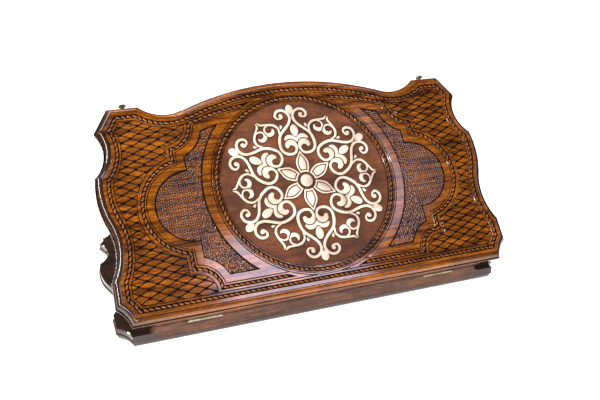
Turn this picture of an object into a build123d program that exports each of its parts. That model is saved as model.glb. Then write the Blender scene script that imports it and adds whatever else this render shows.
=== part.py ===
"""A shaped and carved backgammon board: a hinged wooden case whose two halves open flat to make the field.

The frame of the part: millimetres, +X to the right along the hinges, +Y away from the hinges, +Z up.
The origin is on the base's carved underside, at the centre of its medallion. The lid is modelled
open by LID_OPEN degrees. Each half is built in its own frame, where h is the height from the seam
between the halves towards that half's carved face, and is then put in its place.
"""
from build123d import *
import math
import os

# Driving dimensions of a half
HALF_HEIGHT = 31.5
PANEL_THICK = 13.0
RIM_GAP = 0.15
FRONT_Y = -164.4
RAIL_THICK = 12.0
FRAME_HALF_WIDTH = 248.0
FIELD_BACK_Y = 115.0
BACK_FLAT_Y = 147.4
ARCH_Y = 165.2
RAIL_BACK_Y = 146.5
FIELD_THICK = 3.0
POINT_THICK = 1.0
RIM_ROUND = 0.8
CUT_OVER = 1.0

# Blocks that thicken the ends of a half outside the frame, and the coves of the front rail on them
END_BLOCK_H = 9.5
END_BLOCK_INSET = 1.5
END_BLOCK_ROUND = 1.2
COVE_R = 8.0

# Heights from the seam
PANEL_INNER_H = HALF_HEIGHT - PANEL_THICK
FIELD_H = PANEL_INNER_H - FIELD_THICK

# Moulded edge of a panel, as insets from the outline
LIP_TOP_H = 20.2
LIP_ROUND = 0.8
QUIRK_INSET = 2.2
OVOLO_H = LIP_TOP_H + LIP_ROUND
OVOLO_WIDTH = 7.4
OVOLO_TOP_H = 30.4
OVOLO_STEPS = 5
FACE_INSET = 10.5

# Carving: insets from the outline, and the depths of the grounds
ROPE_OUTER_INSET = 15.0
ROPE_INNER_INSET = 21.5
ROPE_DEPTH = 1.6
LATTICE_INSET = 23.5
LATTICE_DEPTH = 1.8
LATTICE_NEAR_X = 161.0
GROUND_DEPTH = 2.0
BORDER_ROPE_NEAR = 12.8
BORDER_ROPE_FAR = 19.0
BORDER_FAR = 23.5
BORDER_ROPE_STOP_R = 145.0

# Medallion
DISC_RECESS_R = 128.0
DISC_R = 127.8
DISC_THICK = 2.5
DISC_TOP_DEPTH = 1.5
RING_ROPE_IN_R = 130.3
RING_ROPE_OUT_R = 136.8
RING_OUT_R = 153.5
ROSETTE_FOLD = 6
BOSS_R = 9.5
PETAL_ROOT_R = 13.5
PETAL_TIP_R = 45.5
PETAL_HALF_ROOT = 7.0
PETAL_HALF_WIDTH = 10.6
PETAL_WIDE_R = 25.5
STRAND_WIDTH = 4.4
KNOB_R = 6.0
KNOB_CENTRE_R = 117.5

# Side cartouches: each bulges as a half circle about LOBE_CENTRE
CARTOUCHE_TOP_Y = 118.0
CARTOUCHE_FOOT_Y = -118.5
LOBE_CENTRE = (172.5, -13.0)
LOBE_R = 53.0

# Hinges
HINGE_X = 181.3
HINGE_LENGTH = 49.0
HINGE_PROUD = 0.8
KNUCKLE_R = 2.1
KNUCKLE_GAP = 0.3
PIN_R = 1.1
PIN_CLEARANCE = 0.06
LEAF_WIDTH = 10.5
LEAF_THICK = 1.2
LEAF_FACE_H = 0.15
LEAF_CLEARANCE = 0.4
HINGE_SCREW_PITCH = 17.0
HINGE_SCREW_SET_IN = 6.6
HINGE_SCREW_HEAD_R = 2.2
HINGE_SCREW_R = 1.1
HINGE_SCREW_LENGTH = 9.0
HINGE_SLOT = (6.0, 0.6, 0.9)

# Hooks and pegs
CATCH_X = 241.0
CATCH_H = 13.9
PEG_STEM_R = 1.5
PEG_HEAD_R = 5.5
PEG_HEAD_Y = 152.6
PEG_HEAD_THICK = 3.0
PEG_DOME_R = 2.6
CATCH_DEPTH = 9.0
COLLAR_R = 2.6
HOOK_Y = 147.9
HOOK_THICK = 1.4
HOOK_ARM = 2 * CATCH_H
HOOK_EYE_R = 4.4
HOOK_WIDTH = 4.6
HOOK_MOUTH_R = 2.0
HOOK_HEAD_R = 5.0
HOOK_TAB_END = 37.0
HOOK_TAB_HALF = 3.4
HOOK_REST_TURN = -104.0
SCREW_HEAD_R = 3.6
SCREW_HEAD_THICK = 1.8
SCREW_DOME_R = 1.5
SCREW_SLOT_DEPTH = 0.7
SCREW_SLOT_WIDTH = 0.8
HOOK_PLAY = 0.1

# Playing pieces
POINTS_PER_SIDE = 6
POINT_LENGTH = 180.0
POINT_BASE = 40.0
POINT_MARGIN = 1.0
CHECKER_R = 17.0
CHECKER_THICK = 7.4
CHECKER_ROUND = 1.2
CHECKER_DISH_R = 11.5
CHECKER_DISH_DEPTH = 0.9
CHECKER_PITCH = 36.0
CHECKER_MARGIN = 1.0
CHECKERS_PER_SIDE = 15
CHECKERS_PER_PILE = 2
PILES_PER_ROW = 2
DIE_SIZE = 12.0
DIE_ROUND = 1.2
DICE_PLACES = ((-214.0, -62.0, 14.0), (-188.0, -72.0, -31.0))

# Pose of the lid
LID_OPEN = 47.0
HINGE_Y = FRONT_Y - HINGE_PROUD
HINGE_LINE = Axis((0, HINGE_Y, HALF_HEIGHT), (1, 0, 0))


# Outlines made of straight lines and round arcs, run counter-clockwise. Two sides whose normals
# agree at a corner, with a spread over SMOOTH_SPREAD, run smoothly into each other there.
SMOOTH_SPREAD = 1.995
NEWTON_STEPS = 12


def line(start, end):
    """A straight side."""
    return {"start": start, "end": end, "centre": None}


def arc(start, via, end):
    """A round side through three points."""
    (ax, ay), (bx, by), (cx, cy) = start, via, end
    twice = 2 * (ax * (by - cy) + bx * (cy - ay) + cx * (ay - by))
    a2 = ax * ax + ay * ay
    b2 = bx * bx + by * by
    c2 = cx * cx + cy * cy
    ux = (a2 * (by - cy) + b2 * (cy - ay) + c2 * (ay - by)) / twice
    uy = (a2 * (cx - bx) + b2 * (ax - cx) + c2 * (bx - ax)) / twice
    turn = 1 if twice > 0 else -1
    radius = math.dist((ux, uy), start)
    return {"start": start, "end": end, "centre": (ux, uy), "turn": turn, "radius": radius}


def left_normal(side, point):
    """The unit normal at a point of a side, on the left of its run."""
    if side["centre"] is None:
        dx = side["end"][0] - side["start"][0]
        dy = side["end"][1] - side["start"][1]
        size = math.hypot(dx, dy)
        return (-dy / size, dx / size)
    cx, cy = side["centre"]
    size = side["radius"]
    return (side["turn"] * (cx - point[0]) / size, side["turn"] * (cy - point[1]) / size)


def meeting(first, second, corner, distance):
    """Where two neighbouring sides meet once both are moved to their left by a distance."""
    n1 = left_normal(first, corner)
    n2 = left_normal(second, corner)
    spread = 1 + n1[0] * n2[0] + n1[1] * n2[1]
    guess_x = corner[0] + distance * (n1[0] + n2[0]) / spread
    guess_y = corner[1] + distance * (n1[1] + n2[1]) / spread
    guess = (guess_x, guess_y)
    if spread > SMOOTH_SPREAD:
        return guess
    for _ in range(NEWTON_STEPS):
        guess = correct(first, second, corner, distance, guess)
    return guess


def gap_to(side, corner, distance, point):
    """How far a point lies to the left of a side moved by a distance, and the normal there."""
    if side["centre"] is None:
        normal = left_normal(side, corner)
        along = (point[0] - corner[0]) * normal[0] + (point[1] - corner[1]) * normal[1]
        return along - distance, normal
    cx, cy = side["centre"]
    away = math.dist(point, (cx, cy))
    normal = (side["turn"] * (cx - point[0]) / away, side["turn"] * (cy - point[1]) / away)
    return side["turn"] * (side["radius"] - away) - distance, normal


def correct(first, second, corner, distance, point):
    """One Newton step towards the point that lies on both sides."""
    g1, n1 = gap_to(first, corner, distance, point)
    g2, n2 = gap_to(second, corner, distance, point)
    det = n1[0] * n2[1] - n1[1] * n2[0]
    return (point[0] - (g1 * n2[1] - g2 * n1[1]) / det, point[1] - (g2 * n1[0] - g1 * n2[0]) / det)


def inset(sides, distance):
    """The outline moved inwards by a distance, or outwards where it is negative."""
    count = len(sides)
    corners = [meeting(sides[i - 1], sides[i], sides[i]["start"], distance) for i in range(count)]
    moved = []
    for i, side in enumerate(sides):
        new = dict(side)
        new["start"] = corners[i]
        new["end"] = corners[(i + 1) % count]
        if side["centre"] is not None:
            new["radius"] = side["radius"] - side["turn"] * distance
        moved.append(new)
    return moved


def mirrored(sides):
    """A run of sides turned over the Y axis, in the order that continues it."""
    turned = []
    for side in reversed(sides):
        new = dict(side)
        new["start"] = (-side["end"][0], side["end"][1])
        new["end"] = (-side["start"][0], side["start"][1])
        if side["centre"] is not None:
            new["centre"] = (-side["centre"][0], side["centre"][1])
        turned.append(new)
    return turned


def face_of(sides):
    """A flat face bounded by an outline."""
    edges = []
    for side in sides:
        if side["centre"] is None:
            edges.append(Line(side["start"], side["end"]))
            continue
        cx, cy = side["centre"]
        begin = math.atan2(side["start"][1] - cy, side["start"][0] - cx)
        finish = math.atan2(side["end"][1] - cy, side["end"][0] - cx)
        sweep = (finish - begin) * side["turn"] % (2 * math.pi)
        middle = begin + side["turn"] * sweep / 2
        via = (cx + side["radius"] * math.cos(middle), cy + side["radius"] * math.sin(middle))
        edges.append(ThreePointArc(side["start"], via, side["end"]))
    return make_face(edges)


def outline():
    """The plan of a half at its lip: straight at the hinges, scalloped at the ends, arched at the back."""
    right = [
        line((0, FRONT_Y), (282.0, FRONT_Y)),
        arc((282.0, FRONT_Y), (288.4, -148.4), (299.2, -137.0)),
        line((299.2, -137.0), (298.4, -101.0)),
        arc((298.4, -101.0), (286.0, -60.5), (291.5, -25.0)),
        arc((291.5, -25.0), (299.2, 14.0), (296.2, 47.6)),
        arc((296.2, 47.6), (279.6, 81.0), (288.3, 111.8)),
        line((288.3, 111.8), (265.2, BACK_FLAT_Y)),
        line((265.2, BACK_FLAT_Y), (220.8, BACK_FLAT_Y)),
        arc((220.8, BACK_FLAT_Y), (184.0, 131.6), (160.0, 135.6)),
        arc((160.0, 135.6), (81.0, 157.9), (0, ARCH_Y)),
    ]
    return joined(right)


def joined(right):
    """A closed outline from its right half, with the sides on the middle line made whole."""
    left = mirrored(right)
    first = dict(right[0])
    last = dict(right[-1])
    first["start"] = left[-1]["start"]
    last["end"] = left[0]["end"]
    return [first] + right[1:-1] + [last] + left[1:-1]


def cartouche():
    """The plan of the two side grounds and the band between them, before the ring is taken out."""
    lobe_x, lobe_y = LOBE_CENTRE
    right = [
        line((0, CARTOUCHE_FOOT_Y), (142.0, CARTOUCHE_FOOT_Y)),
        arc((142.0, CARTOUCHE_FOOT_Y), (153.5, -101.0), (lobe_x, -89.5)),
        line((lobe_x, -89.5), (lobe_x, lobe_y - LOBE_R)),
        arc((lobe_x, lobe_y - LOBE_R), (lobe_x + LOBE_R, lobe_y), (lobe_x, lobe_y + LOBE_R)),
        line((lobe_x, lobe_y + LOBE_R), (lobe_x, 60.5)),
        arc((lobe_x, 60.5), (155.5, 72.0), (141.0, 97.5)),
        arc((141.0, 97.5), (72.0, 112.8), (0, CARTOUCHE_TOP_Y)),
    ]
    return joined(right)


OUTLINE = outline()
CARTOUCHE = cartouche()


def slab(face, low, high):
    """A straight prism of a plan face between two heights."""
    return extrude(Pos(0, 0, low) * face, high - low, dir=(0, 0, 1))


def disc(radius, low, high):
    """A round slab about the medallion's centre."""
    return slab(Circle(radius), low, high)


def tapered(inset_low, low, inset_high, high):
    """The panel's body between two insets of its outline, with sloping sides."""
    lower = Pos(0, 0, low) * face_of(inset(OUTLINE, inset_low))
    upper = Pos(0, 0, high) * face_of(inset(OUTLINE, inset_high))
    return loft([lower, upper], ruled=True)


def panel():
    """The carved board: moulded edge, rope channels, lattice and matted grounds, and the disc's recess."""
    body = slab(face_of(OUTLINE), PANEL_INNER_H, LIP_TOP_H)
    body += tapered(0, LIP_TOP_H, LIP_ROUND, OVOLO_H)
    for step in range(OVOLO_STEPS):
        angles = [math.radians(90 * (step + up) / OVOLO_STEPS) for up in (0, 1)]
        insets = [QUIRK_INSET + OVOLO_WIDTH * (1 - math.cos(angle)) for angle in angles]
        heights = [OVOLO_H + (OVOLO_TOP_H - OVOLO_H) * math.sin(angle) for angle in angles]
        body += tapered(insets[0], heights[0], insets[1], heights[1])
    body += slab(face_of(inset(OUTLINE, FACE_INSET)), OVOLO_TOP_H, HALF_HEIGHT)
    top = HALF_HEIGHT + CUT_OVER
    rope = slab(face_of(inset(OUTLINE, ROPE_OUTER_INSET)), HALF_HEIGHT - ROPE_DEPTH, top)
    rope -= slab(face_of(inset(OUTLINE, ROPE_INNER_INSET)), HALF_HEIGHT - ROPE_DEPTH, top)
    border = slab(face_of(inset(CARTOUCHE, -BORDER_ROPE_FAR)), HALF_HEIGHT - ROPE_DEPTH, top)
    border -= slab(face_of(inset(CARTOUCHE, -BORDER_ROPE_NEAR)), HALF_HEIGHT - ROPE_DEPTH, top)
    border -= disc(BORDER_ROPE_STOP_R, HALF_HEIGHT - ROPE_DEPTH, top)
    lattice = slab(face_of(inset(OUTLINE, LATTICE_INSET)), HALF_HEIGHT - LATTICE_DEPTH, top)
    lattice -= slab(face_of(inset(CARTOUCHE, -BORDER_FAR)), HALF_HEIGHT - LATTICE_DEPTH, top)
    lattice -= slab(Rectangle(2 * LATTICE_NEAR_X, 3 * BACK_FLAT_Y), HALF_HEIGHT - LATTICE_DEPTH, top)
    ground = slab(face_of(CARTOUCHE), HALF_HEIGHT - GROUND_DEPTH, top)
    ground -= disc(RING_OUT_R, HALF_HEIGHT - GROUND_DEPTH, top)
    ring = disc(RING_ROPE_OUT_R, HALF_HEIGHT - ROPE_DEPTH, top)
    ring -= disc(RING_ROPE_IN_R, HALF_HEIGHT - ROPE_DEPTH, top)
    recess = disc(DISC_RECESS_R, HALF_HEIGHT - DISC_TOP_DEPTH - DISC_THICK, top)
    for cut in (rope, border, lattice, ground, ring, recess):
        body -= cut
    return body


def medallion_disc():
    """The dark disc let into the panel."""
    return disc(DISC_R, HALF_HEIGHT - DISC_TOP_DEPTH - DISC_THICK, HALF_HEIGHT - DISC_TOP_DEPTH)


# Rosette, drawn about the spoke that points to -Y

def around(shape):
    """Copies of a shape turned about the medallion's centre."""
    return [Rot(0, 0, 360 / ROSETTE_FOLD * k) * shape for k in range(ROSETTE_FOLD)]


def inlay(face):
    """A flat inlay on the disc, level with the carved face."""
    return slab(face, HALF_HEIGHT - DISC_TOP_DEPTH, HALF_HEIGHT)


def boss():
    """The round centre of the rosette."""
    return inlay(Circle(BOSS_R))


def petal():
    """A pointed petal with a hollow root that follows the boss."""
    root_y = -math.sqrt(PETAL_ROOT_R ** 2 - PETAL_HALF_ROOT ** 2)
    corner = (PETAL_HALF_ROOT, root_y)
    wide = (PETAL_HALF_WIDTH, -PETAL_WIDE_R)
    flank = Spline(corner, wide, (0, -PETAL_TIP_R))
    other = Spline((-corner[0], root_y), (-wide[0], wide[1]), (0, -PETAL_TIP_R))
    root = ThreePointArc(corner, (0, -PETAL_ROOT_R), (-corner[0], root_y))
    return inlay(make_face([flank, other, root]))


HEART_STRAND = [
    (-1.6, -50.0), (-7.1, -44.3), (-14.3, -42.6), (-21.4, -44.6), (-26.0, -50.0), (-27.9, -58.0),
    (-26.4, -67.1), (-22.9, -76.0), (-17.1, -84.0), (-10.4, -90.2), (-5.0, -96.4), (-3.4, -103.0),
    (-5.9, -109.6), (-10.7, -113.9), (-17.1, -115.2), (-22.7, -112.3), (-25.2, -106.6), (-22.9, -101.6),
]
LEAF_STRAND = [
    (-24.3, -79.5), (-24.2, -85.0), (-27.6, -90.6), (-33.5, -93.6), (-41.0, -93.8), (-49.0, -94.4),
    (-56.4, -98.2),
]
CURL_STRAND = [
    (-38.6, -92.6), (-44.6, -89.6), (-46.6, -84.0), (-43.6, -78.6), (-37.4, -76.4), (-32.6, -79.4),
    (-32.4, -84.4),
]
VOLUTE_EYE = (-18.8, -104.6)
VOLUTE_EYE_R = 4.2


def strand(points, width):
    """A ribbon of even width along a smooth line, as a flat inlay."""
    path = Spline(*points)
    steps = 3 * len(points)
    sides = ([], [])
    for i in range(steps + 1):
        place = path @ (i / steps)
        run = path % (i / steps)
        for side, sign in zip(sides, (1, -1)):
            side.append((place.X - sign * run.Y * width / 2, place.Y + sign * run.X * width / 2))
    first, second = sides
    edges = [Spline(*first), Line(first[-1], second[-1]), Spline(*second), Line(second[0], first[0])]
    return inlay(make_face(edges))


def fretwork():
    """The pale scrollwork: hearts under the petals, pointed leaves between them, and the outer knobs."""
    pieces = [
        strand(HEART_STRAND, STRAND_WIDTH),
        strand(LEAF_STRAND, STRAND_WIDTH * 0.8),
        strand(CURL_STRAND, STRAND_WIDTH * 0.8),
        inlay(Pos(*VOLUTE_EYE) * Circle(VOLUTE_EYE_R)),
    ]
    pieces += [mirror(piece, Plane.YZ) for piece in pieces]
    pieces.append(inlay(Pos(0, -KNOB_CENTRE_R) * Circle(KNOB_R)))
    sector = pieces[0].fuse(*pieces[1:])
    sectors = around(sector)
    whole = sectors[0].fuse(*sectors[1:])
    return whole


def palmettes():
    """Three-lobed palmettes inside the hearts: two pairs of curled lobes and a drop, each a loose inlay."""
    upper = strand([(-1.9, -57.0), (-6.5, -61.2), (-12.0, -61.8), (-17.0, -58.2)], 5.6)
    lower = strand([(-1.9, -66.6), (-6.5, -70.2), (-12.0, -70.6), (-16.6, -67.6)], 5.0)
    drop = inlay(Pos(0, -81.0) * Ellipse(6.0, 9.0))
    sector = [upper, lower, mirror(upper, Plane.YZ), mirror(lower, Plane.YZ), drop]
    return [turned for piece in sector for turned in around(piece)]


# Frame and field

def box(x0, x1, y0, y1, low, high):
    """A block between two corners."""
    return Pos((x0 + x1) / 2, (y0 + y1) / 2, (low + high) / 2) * Box(x1 - x0, y1 - y0, high - low)


def eased(rail):
    """A rail with the edges of its seam face rounded."""
    return fillet(rail.faces().sort_by(Axis.Z)[0].edges(), RIM_ROUND)


def cove():
    """The hollow foot that runs from the right end of the front rail out onto the end block."""
    low = END_BLOCK_H - COVE_R
    x = FRAME_HALF_WIDTH
    block = box(x, x + COVE_R, FRONT_Y, FRONT_Y + RAIL_THICK, low, END_BLOCK_H)
    hollow = Pos(x + COVE_R, FRONT_Y + RAIL_THICK / 2, low) * Rot(90, 0, 0) * Cylinder(COVE_R, 2 * RAIL_THICK)
    return block - hollow


def front_rail():
    """The rail under the hinges, with a cove at each end."""
    rail = box(-FRAME_HALF_WIDTH, FRAME_HALF_WIDTH, FRONT_Y, FRONT_Y + RAIL_THICK, RIM_GAP, PANEL_INNER_H)
    rail = eased(rail)
    foot = cove()
    rail = rail + foot + mirror(foot, Plane.YZ)
    for x in (-HINGE_X, HINGE_X):
        low_x = x - HINGE_LENGTH / 2
        high_x = x + HINGE_LENGTH / 2
        leaf_y = HINGE_Y + LEAF_WIDTH
        rail -= box(low_x, high_x, FRONT_Y - CUT_OVER, leaf_y, -CUT_OVER, LEAF_FACE_H + LEAF_THICK)
        rail -= along_x(KNUCKLE_R + LEAF_CLEARANCE, low_x - LEAF_CLEARANCE, high_x + LEAF_CLEARANCE)
    return rail


def end_block(side):
    """The block that thickens one end of the half outside the frame, flush with the front rail."""
    plan_sides = inset(OUTLINE, END_BLOCK_INSET)
    front_x = plan_sides[0]["end"][0]
    block = slab(face_of(plan_sides), END_BLOCK_H, PANEL_INNER_H)
    block += box(-front_x, front_x, FRONT_Y, 0, END_BLOCK_H, PANEL_INNER_H)
    block &= box(FRAME_HALF_WIDTH, 2 * FRAME_HALF_WIDTH, -ARCH_Y, ARCH_Y, END_BLOCK_H, PANEL_INNER_H)
    rim = block.faces().sort_by(Axis.Z)[0].edges()
    rim = [edge for edge in rim if edge.center().X > FRAME_HALF_WIDTH + END_BLOCK_ROUND]
    rim = [edge for edge in rim if edge.center().Y > FRONT_Y + END_BLOCK_ROUND]
    block = chamfer(rim, END_BLOCK_ROUND)
    return block if side > 0 else mirror(block, Plane.YZ)


def side_rail(side):
    """A rail at one end, from the front rail to the back of the half."""
    inner = FRAME_HALF_WIDTH - RAIL_THICK
    rail = box(inner, FRAME_HALF_WIDTH, FRONT_Y + RAIL_THICK, RAIL_BACK_Y, RIM_GAP, PANEL_INNER_H)
    rail = eased(rail)
    return rail if side > 0 else mirror(rail, Plane.YZ)


def back_rail():
    """The rail at the back: straight inside, and sawn outside to the panel's arch and hollows."""
    inner = FRAME_HALF_WIDTH - RAIL_THICK
    plan = face_of(inset(OUTLINE, BACK_FLAT_Y - RAIL_BACK_Y))
    rail = slab(plan, RIM_GAP, PANEL_INNER_H) & box(-inner, inner, FIELD_BACK_Y, ARCH_Y, 0, HALF_HEIGHT)
    return eased(rail)


def point_places(light):
    """The middles of the points of one colour, and the end that each stands on."""
    depth = FIELD_BACK_Y - FRONT_Y - RAIL_THICK
    pitch = depth / POINTS_PER_SIDE
    for end in (-1, 1):
        for k in range(POINTS_PER_SIDE):
            if (k % 2 == 0) == (light == (end > 0)):
                yield end, FRONT_Y + RAIL_THICK + pitch * (k + 0.5)


def points(light):
    """The inlaid points of one colour."""
    base_x = FRAME_HALF_WIDTH - RAIL_THICK - POINT_MARGIN
    made = []
    for end, y in point_places(light):
        plan = Polygon(
            (end * base_x, y - POINT_BASE / 2),
            (end * base_x, y + POINT_BASE / 2),
            (end * (base_x - POINT_LENGTH), y),
            align=None,
        )
        made.append(slab(plan, FIELD_H, FIELD_H + POINT_THICK))
    return made


def field():
    """The playing field board inside the frame, with pockets for the points."""
    inner = FRAME_HALF_WIDTH - RAIL_THICK
    board = box(-inner, inner, FRONT_Y + RAIL_THICK, FIELD_BACK_Y, FIELD_H, PANEL_INNER_H)
    for piece in points(True) + points(False):
        board -= piece
    return board


# Hinges, hooks and pegs

def along_x(radius, low, high):
    """A round bar on the hinge line."""
    return Pos((low + high) / 2, HINGE_Y, 0) * Rot(0, 90, 0) * Cylinder(radius, high - low)


def along_y(radius, low, high):
    """A round bar that points to the back."""
    return Pos(0, (low + high) / 2, 0) * Rot(90, 0, 0) * Cylinder(radius, high - low)


def hinge_screws(x):
    """The countersunk screws of one leaf."""
    made = []
    y = HINGE_Y + HINGE_SCREW_SET_IN
    head_depth = HINGE_SCREW_HEAD_R - HINGE_SCREW_R
    standing = (Align.CENTER, Align.CENTER, Align.MIN)
    for k in (-1, 0, 1):
        head = Cone(HINGE_SCREW_HEAD_R, HINGE_SCREW_R, head_depth, align=standing)
        shank = Cylinder(HINGE_SCREW_R, HINGE_SCREW_LENGTH, align=standing)
        made.append(Pos(x + k * HINGE_SCREW_PITCH, y, LEAF_FACE_H) * (head + shank))
    return made


def slotted(screws):
    """Screws with a driver slot across each head."""
    y = HINGE_Y + HINGE_SCREW_SET_IN
    return [screw - Pos(screw.center().X, y, LEAF_FACE_H) * Box(*HINGE_SLOT) for screw in screws]


def knuckle_spans(x, own_middle):
    """The stretches of the hinge line that one leaf's knuckles take."""
    third = HINGE_LENGTH / 3
    if own_middle:
        return [(x - third / 2 + KNUCKLE_GAP, x + third / 2 - KNUCKLE_GAP)]
    return [(x - HINGE_LENGTH / 2, x - third / 2), (x + third / 2, x + HINGE_LENGTH / 2)]


def hinge_leaf(x, own_middle):
    """One leaf with its knuckles: the lid's leaf has the middle knuckle, the base's the outer two."""
    low_x = x - HINGE_LENGTH / 2
    high_x = x + HINGE_LENGTH / 2
    leaf = box(low_x, high_x, HINGE_Y, HINGE_Y + LEAF_WIDTH, LEAF_FACE_H, LEAF_FACE_H + LEAF_THICK)
    for low, high in knuckle_spans(x, not own_middle):
        leaf -= along_x(KNUCKLE_R + LEAF_CLEARANCE, low - KNUCKLE_GAP, high + KNUCKLE_GAP)
    for low, high in knuckle_spans(x, own_middle):
        leaf += along_x(KNUCKLE_R, low, high)
    bore = PIN_R + PIN_CLEARANCE if own_middle else PIN_R
    leaf -= along_x(bore, low_x - CUT_OVER, high_x + CUT_OVER)
    for screw in hinge_screws(x):
        leaf -= screw
    return leaf


def hinge_pin(x):
    """The pin, held by the base's knuckles."""
    return along_x(PIN_R, x - HINGE_LENGTH / 2, x + HINGE_LENGTH / 2)


def peg():
    """A mushroom-headed brass peg, along +Y."""
    stem = along_y(PEG_STEM_R, RAIL_BACK_Y - CATCH_DEPTH, PEG_HEAD_Y)
    head = along_y(PEG_HEAD_R, PEG_HEAD_Y, PEG_HEAD_Y + PEG_HEAD_THICK)
    head = fillet(head.edges().group_by(Axis.Y)[-1], PEG_DOME_R)
    return stem + head


def hook_screw():
    """The round-headed screw that a hook turns on, with a collar that holds it off the wood."""
    head_y = HOOK_Y + HOOK_THICK + HOOK_PLAY
    head_end = head_y + SCREW_HEAD_THICK
    collar = along_y(COLLAR_R, RAIL_BACK_Y, HOOK_Y - HOOK_PLAY)
    shank = along_y(PEG_STEM_R, RAIL_BACK_Y - CATCH_DEPTH, head_end - SCREW_DOME_R)
    head = along_y(SCREW_HEAD_R, head_y, head_end)
    head = fillet(head.edges().group_by(Axis.Y)[-1], SCREW_DOME_R)
    slot = Pos(0, head_end, 0) * Box(2 * SCREW_HEAD_R, 2 * SCREW_SLOT_DEPTH, SCREW_SLOT_WIDTH)
    return collar + shank + head - slot


def hook():
    """A flat hook about its screw, standing up as when it is latched. Its mouth opens to +X."""
    arm = Pos(0, HOOK_ARM / 2) * Rectangle(HOOK_WIDTH, HOOK_ARM)
    tab = Polygon(
        (-HOOK_WIDTH / 2, HOOK_ARM),
        (HOOK_WIDTH / 2, HOOK_ARM),
        (HOOK_TAB_HALF, HOOK_TAB_END),
        (-HOOK_TAB_HALF, HOOK_TAB_END),
        align=None,
    )
    plan = Circle(HOOK_EYE_R) + arm + tab + Pos(0, HOOK_ARM) * Circle(HOOK_HEAD_R)
    plan -= Circle(PEG_STEM_R + PIN_CLEARANCE)
    plan -= Pos(0, HOOK_ARM) * Circle(HOOK_MOUTH_R)
    plan -= Pos(HOOK_HEAD_R, HOOK_ARM) * Rectangle(2 * HOOK_HEAD_R, 2 * HOOK_MOUTH_R)
    flat = extrude(plan, HOOK_THICK)
    return Pos(0, HOOK_Y + HOOK_THICK, 0) * Rot(90, 0, 0) * flat


# Playing pieces

def checker():
    """A turned checker with a dished middle on both faces."""
    body = Cylinder(CHECKER_R, CHECKER_THICK, align=(Align.CENTER, Align.CENTER, Align.MIN))
    body = fillet(body.edges().filter_by(GeomType.CIRCLE), CHECKER_ROUND)
    dish = Cylinder(CHECKER_DISH_R, CHECKER_DISH_DEPTH, align=(Align.CENTER, Align.CENTER, Align.MIN))
    body -= dish
    body -= Pos(0, 0, CHECKER_THICK - CHECKER_DISH_DEPTH) * dish
    return body


def checkers(side):
    """Fifteen checkers stored at one end of the base, in piles of two."""
    one = checker()
    floor_z = HALF_HEIGHT - FIELD_H
    first_x = FRAME_HALF_WIDTH - RAIL_THICK - CHECKER_PITCH / 2 - CHECKER_MARGIN
    first_y = FIELD_BACK_Y - CHECKER_PITCH / 2 - CHECKER_MARGIN
    made = []
    for k in range(CHECKERS_PER_SIDE):
        pile, level = divmod(k, CHECKERS_PER_PILE)
        row, column = divmod(pile, PILES_PER_ROW)
        x = side * (first_x - column * CHECKER_PITCH)
        made.append(Pos(x, first_y - row * CHECKER_PITCH, floor_z + level * CHECKER_THICK) * one)
    return made


def dice():
    """Two dice beside the light checkers."""
    cube = fillet(Box(DIE_SIZE, DIE_SIZE, DIE_SIZE).edges(), DIE_ROUND)
    z = HALF_HEIGHT - FIELD_H + DIE_SIZE / 2
    return [Pos(x, y, z) * Rot(0, 0, turn) * cube for x, y, turn in DICE_PLACES]


# Placing the halves and writing the parts

def in_base(shape):
    """Turns a piece of a half over, carved face down, onto the table."""
    return Pos(0, 0, HALF_HEIGHT) * Rot(0, 180, 0) * shape


def in_lid(shape):
    """Puts a piece of a half over the base and opens it about the hinge line."""
    closed = Pos(0, 0, HALF_HEIGHT) * shape
    return closed.rotate(HINGE_LINE, LID_OPEN)


def solids_of(shapes):
    """All the solids of a shape or of a list of shapes."""
    if isinstance(shapes, (list, tuple)):
        return [solid for shape in shapes for solid in solids_of(shape)]
    return list(shapes.solids())


def save(name, shapes):
    """Writes one node."""
    solids = solids_of(shapes)
    export_step(solids[0] if len(solids) == 1 else Compound(children=solids), f"parts/{name}.step")
    print(name, len(solids), "solids")


def half_nodes():
    """The pieces that both halves have, each in the half's own frame."""
    screws = {x: hinge_screws(x) for x in (-HINGE_X, HINGE_X)}
    front = front_rail()
    for group in screws.values():
        for screw in group:
            front -= screw
    catch_hole = Pos(0, 0, CATCH_H) * along_y(PEG_STEM_R, RAIL_BACK_Y - CATCH_DEPTH, RAIL_BACK_Y + CUT_OVER)
    return {
        "panel": panel(),
        "medallion_disc": medallion_disc(),
        "rosette_boss": boss(),
        "rosette_petals": around(petal()),
        "rosette_fretwork": fretwork(),
        "rosette_palmettes": palmettes(),
        "front_rail": front,
        "left_rail": side_rail(-1) - Pos(-CATCH_X, 0, 0) * catch_hole,
        "right_rail": side_rail(1) - Pos(CATCH_X, 0, 0) * catch_hole,
        "back_rail": back_rail(),
        "left_end_block": end_block(-1),
        "right_end_block": end_block(1),
        "field": field(),
        "light_points": points(True),
        "dark_points": points(False),
        "hinge_screws": slotted(screws[-HINGE_X] + screws[HINGE_X]),
    }


def place_all(shapes, place):
    """Places one shape or each of a list."""
    if isinstance(shapes, (list, tuple)):
        return [place(shape) for shape in shapes]
    return place(shapes)


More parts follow.
